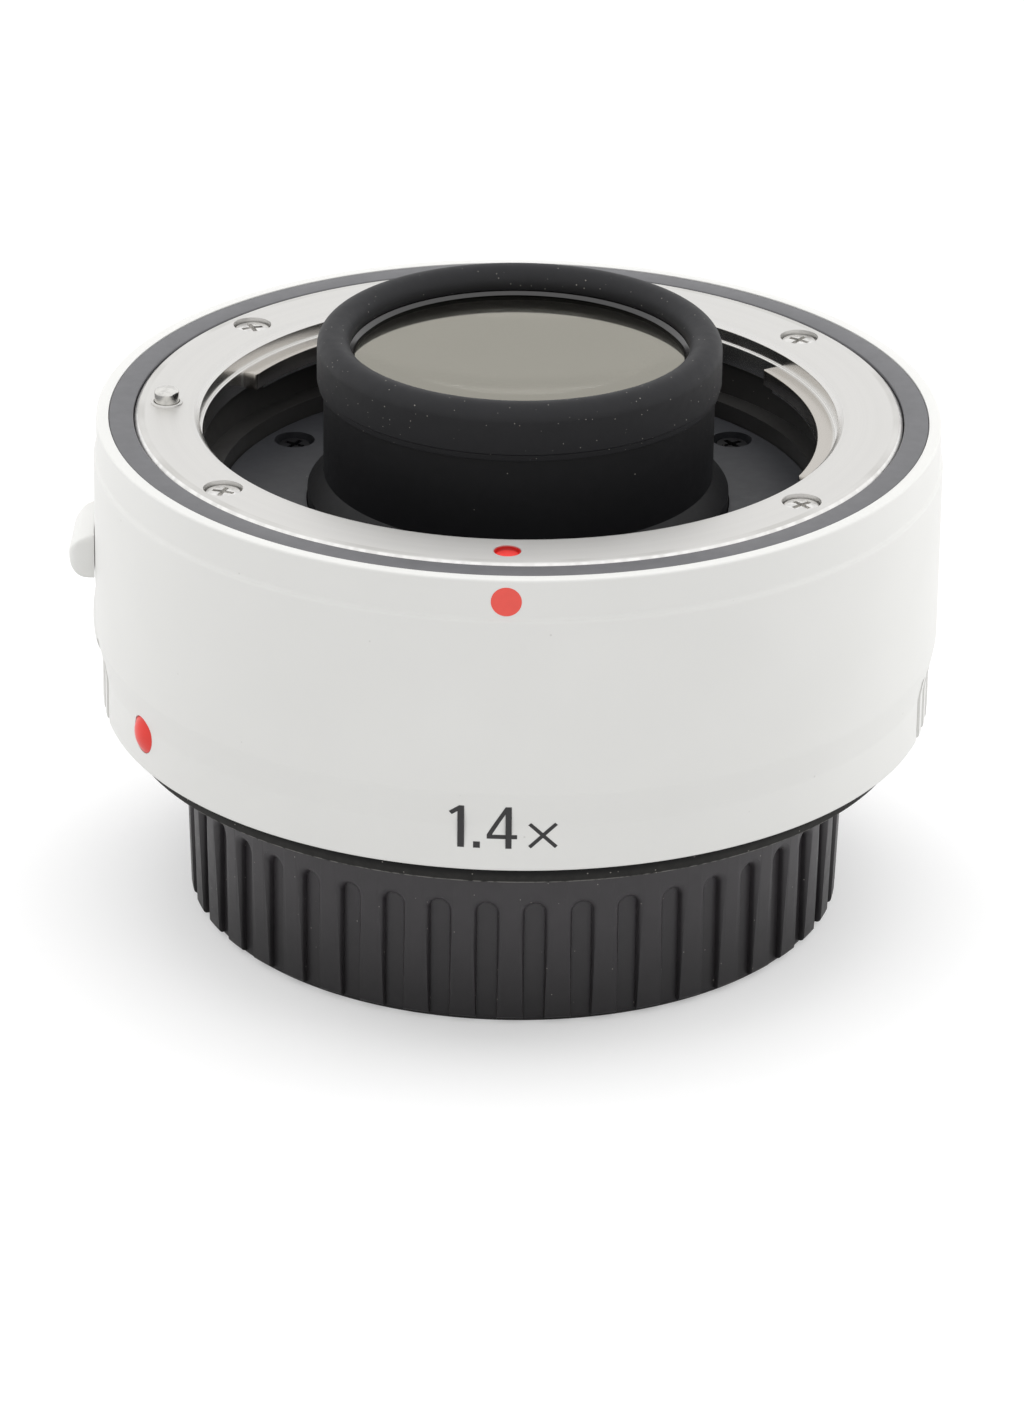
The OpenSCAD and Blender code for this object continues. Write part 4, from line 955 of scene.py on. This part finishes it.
cap_tab_outline = rounded([(25.4, 14.1, 0.1), (27.2, 14.1, 0), (27.2, 15.5, 0), (25.4, 15.5, 0.1)])
cap_tabs = []
for angle in TAB_ANGLES:
    first = angle - CAP_TAB_SWEEP / 2
    cap_tabs.append(turned("cap_tab", cap_tab_outline, steps=40, first=first, sweep=CAP_TAB_SWEEP))
cap = joined([cap] + cap_tabs, "fluted_cap")
hand_over(smooth(cap), "rear_cap", cap_plastic, "cap")


# The painted dot and the number on the barrel

def laid_on_barrel(flat, reach):
    """Cuts flat shapes into narrow strips, lays them on the barrel and gives them thickness."""
    select_only(flat)
    bpy.ops.object.mode_set(mode="EDIT")
    steps = int(reach / PRINT_STRIP)
    for step in range(-steps, steps + 1):
        bpy.ops.mesh.select_all(action="SELECT")
        bpy.ops.mesh.bisect(plane_co=(step * PRINT_STRIP * MM, 0, 0), plane_no=(1, 0, 0))
    closed_up()
    worked(
        flat,
        "SHRINKWRAP",
        target=barrel,
        wrap_method="PROJECT",
        use_project_y=True,
        use_positive_direction=True,
        use_negative_direction=False,
        offset=PRINT_LIFT * MM,
    )
    worked(flat, "SOLIDIFY", thickness=PRINT_THICKNESS * MM, offset=-1)
    return smooth(flat)


def flat_shape(points):
    """A filled outline of (x, z) points that stands before the barrel."""
    shape = drawn("shape", [(x, -38, z) for x, z in points])
    bpy.ops.mesh.edge_face_add()
    closed_up()
    return shape


painted_dot = flat_shape(arc((0.12, 42.1), 1.25, 0, 352.5, 47))
painted_dot = laid_on_barrel(joined([painted_dot], "painted_dot"), 1.5)
hand_over(painted_dot, None, red_paint)

slant = 0.31 / math.sqrt(2)
number = [
    flat_shape([
        (-3.65, 20.0), (-3.1, 20.0), (-3.1, 23.9), (-3.52, 23.9), (-4.36, 23.28), (-4.12, 22.98),
        (-3.65, 23.33),
    ]),
    flat_shape([(-2.36, 20.0), (-1.8, 20.0), (-1.8, 20.56), (-2.36, 20.56)]),
    flat_shape([
        (0.28, 20.0), (0.78, 20.0), (0.78, 20.87), (1.23, 20.87), (1.23, 21.23), (0.78, 21.23),
        (0.78, 23.9), (0.28, 23.9),
    ]),
    flat_shape([
        (0.28, 20.87), (-1.25, 20.87), (-1.25, 21.24), (0.28, 23.9), (0.28, 23.2), (-0.83, 21.23),
        (0.28, 21.23),
    ]),
    flat_shape([
        (2.13, 20.04 + slant), (2.13 + slant, 20.04), (3.33, 21.2 - slant),
        (4.53 - slant, 20.04), (4.53, 20.04 + slant), (3.33 + slant, 21.2),
        (4.53, 22.36 - slant), (4.53 - slant, 22.36), (3.33, 21.2 + slant),
        (2.13 + slant, 22.36), (2.13, 22.36 - slant), (3.33 - slant, 21.2),
    ]),
]
number = laid_on_barrel(joined(number, "number"), 5)
hand_over(number, None, black_print)


# The coil springs of the knob and the contacts, which in the real part shorten as these are pressed;
# here each gets a mesh of its own

for node, name, joint, seat, keep in (
    ("lock_spring", "lock_coil", "release_slide", 24.8, 0.7),
    ("contact_springs", "contact_coils", "contact_press", 36.0, 0.728),
):
    coil = hand_over(refined(node, name), node, spring_steel)
    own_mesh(coil)


# The pieces inside, which keep their CAD shape

for node, finish in (
    ("main_frame", cast_metal),
    ("frame_web", cast_metal),
    ("front_mount_shim", shim_steel),
    ("tab_leaf_springs", spring_steel),
    ("lock_slider", shim_steel),
    ("slider_screws", screw_steel),
    ("lens_cell", black_metal),
    ("lens_spacer", black_metal),
    ("rear_retaining_ring", black_metal),
    ("front_flex", flex_film),
    ("circuit_board", board_green),
    ("board_chips", black_plastic),
    ("board_screws", screw_steel),
    ("rear_flex", flex_film),
    ("rear_mount", mount_steel),
    ("rear_mount_shim", shim_steel),
    ("rear_mount_screws", screw_steel),
    ("rear_baffle", black_plastic),
    ("rear_contact_block", black_plastic),
    ("rear_contact_pads", gold_contact),
):
    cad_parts[node].data.materials.clear()
    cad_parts[node].data.materials.append(finish)


# The floor, the light and the camera

def make_floor_finish():
    """White card that keeps the shadow and is lifted to white for the camera."""
    material, net = new_finish("white_card")
    card = net.node("BsdfDiffuse", {}, {"Color": grey(0.8)})
    glow = net.node("Emission", {}, {"Color": grey(1.0), "Strength": 2.8})
    lift = net.node("LightPath", {}, {}, "Is Camera Ray") * 0.12
    net.output(net.node("MixShader", {}, {0: lift, 1: card, 2: glow}))
    return material


bpy.ops.object.select_all(action="DESELECT")
bpy.ops.mesh.primitive_circle_add(vertices=96, radius=3, fill_type="NGON")
floor = added("floor")
floor.data.materials.append(make_floor_finish())

world = bpy.data.worlds.new("studio")
bpy.context.scene.world = world
world.use_nodes = True
sky = Net(world.node_tree)
seen = sky.node("LightPath", {}, {}, "Is Camera Ray")
for kind in ("Is Glossy Ray", "Is Transmission Ray"):
    seen = sky.math("MAXIMUM", seen, sky.node("LightPath", {}, {}, kind))
around = sky.node("Background", {}, {"Color": grey(1.0), "Strength": 0.85})
white = sky.node("Background", {}, {"Color": grey(1.0), "Strength": 1.0})
sky.output(sky.node("MixShader", {}, {0: seen, 1: around, 2: white}), "OutputWorld")


def lamp(name, place, size, power):
    """A soft square lamp that looks at the middle of the part."""
    data = bpy.data.lights.new(name, "AREA")
    data.size = size
    data.energy = power
    made = bpy.data.objects.new(name, data)
    bpy.context.collection.objects.link(made)
    made.location = place
    made.visible_glossy = False
    back = Vector(place) - Vector(PART_MIDDLE)
    made.rotation_euler = back.to_track_quat("Z", "Y").to_euler()


lamp("top_lamp", (0.0, 0.05, 0.9), 0.7, 2.4)
lamp("left_lamp", (-0.7, 0.5, 0.3), 0.5, 2.2)
lamp("right_lamp", (0.7, 0.45, 0.3), 0.5, 2.8)

ahead = Vector(CAMERA_AHEAD).normalized()
right = ahead.cross(Vector(CAMERA_UP)).normalized()
up = right.cross(ahead)
view = bpy.data.cameras.new("photo_camera")
view.sensor_fit = "VERTICAL"
view.sensor_height = 36
view.lens = 174.8
camera = bpy.data.objects.new("photo_camera", view)
bpy.context.collection.objects.link(camera)
camera_turn = Matrix((right, up, -ahead)).transposed().to_4x4()
camera.matrix_world = Matrix.Translation(CAMERA_PLACE) @ camera_turn
bpy.context.scene.camera = camera
bpy.context.scene.view_settings.view_transform = "Standard"
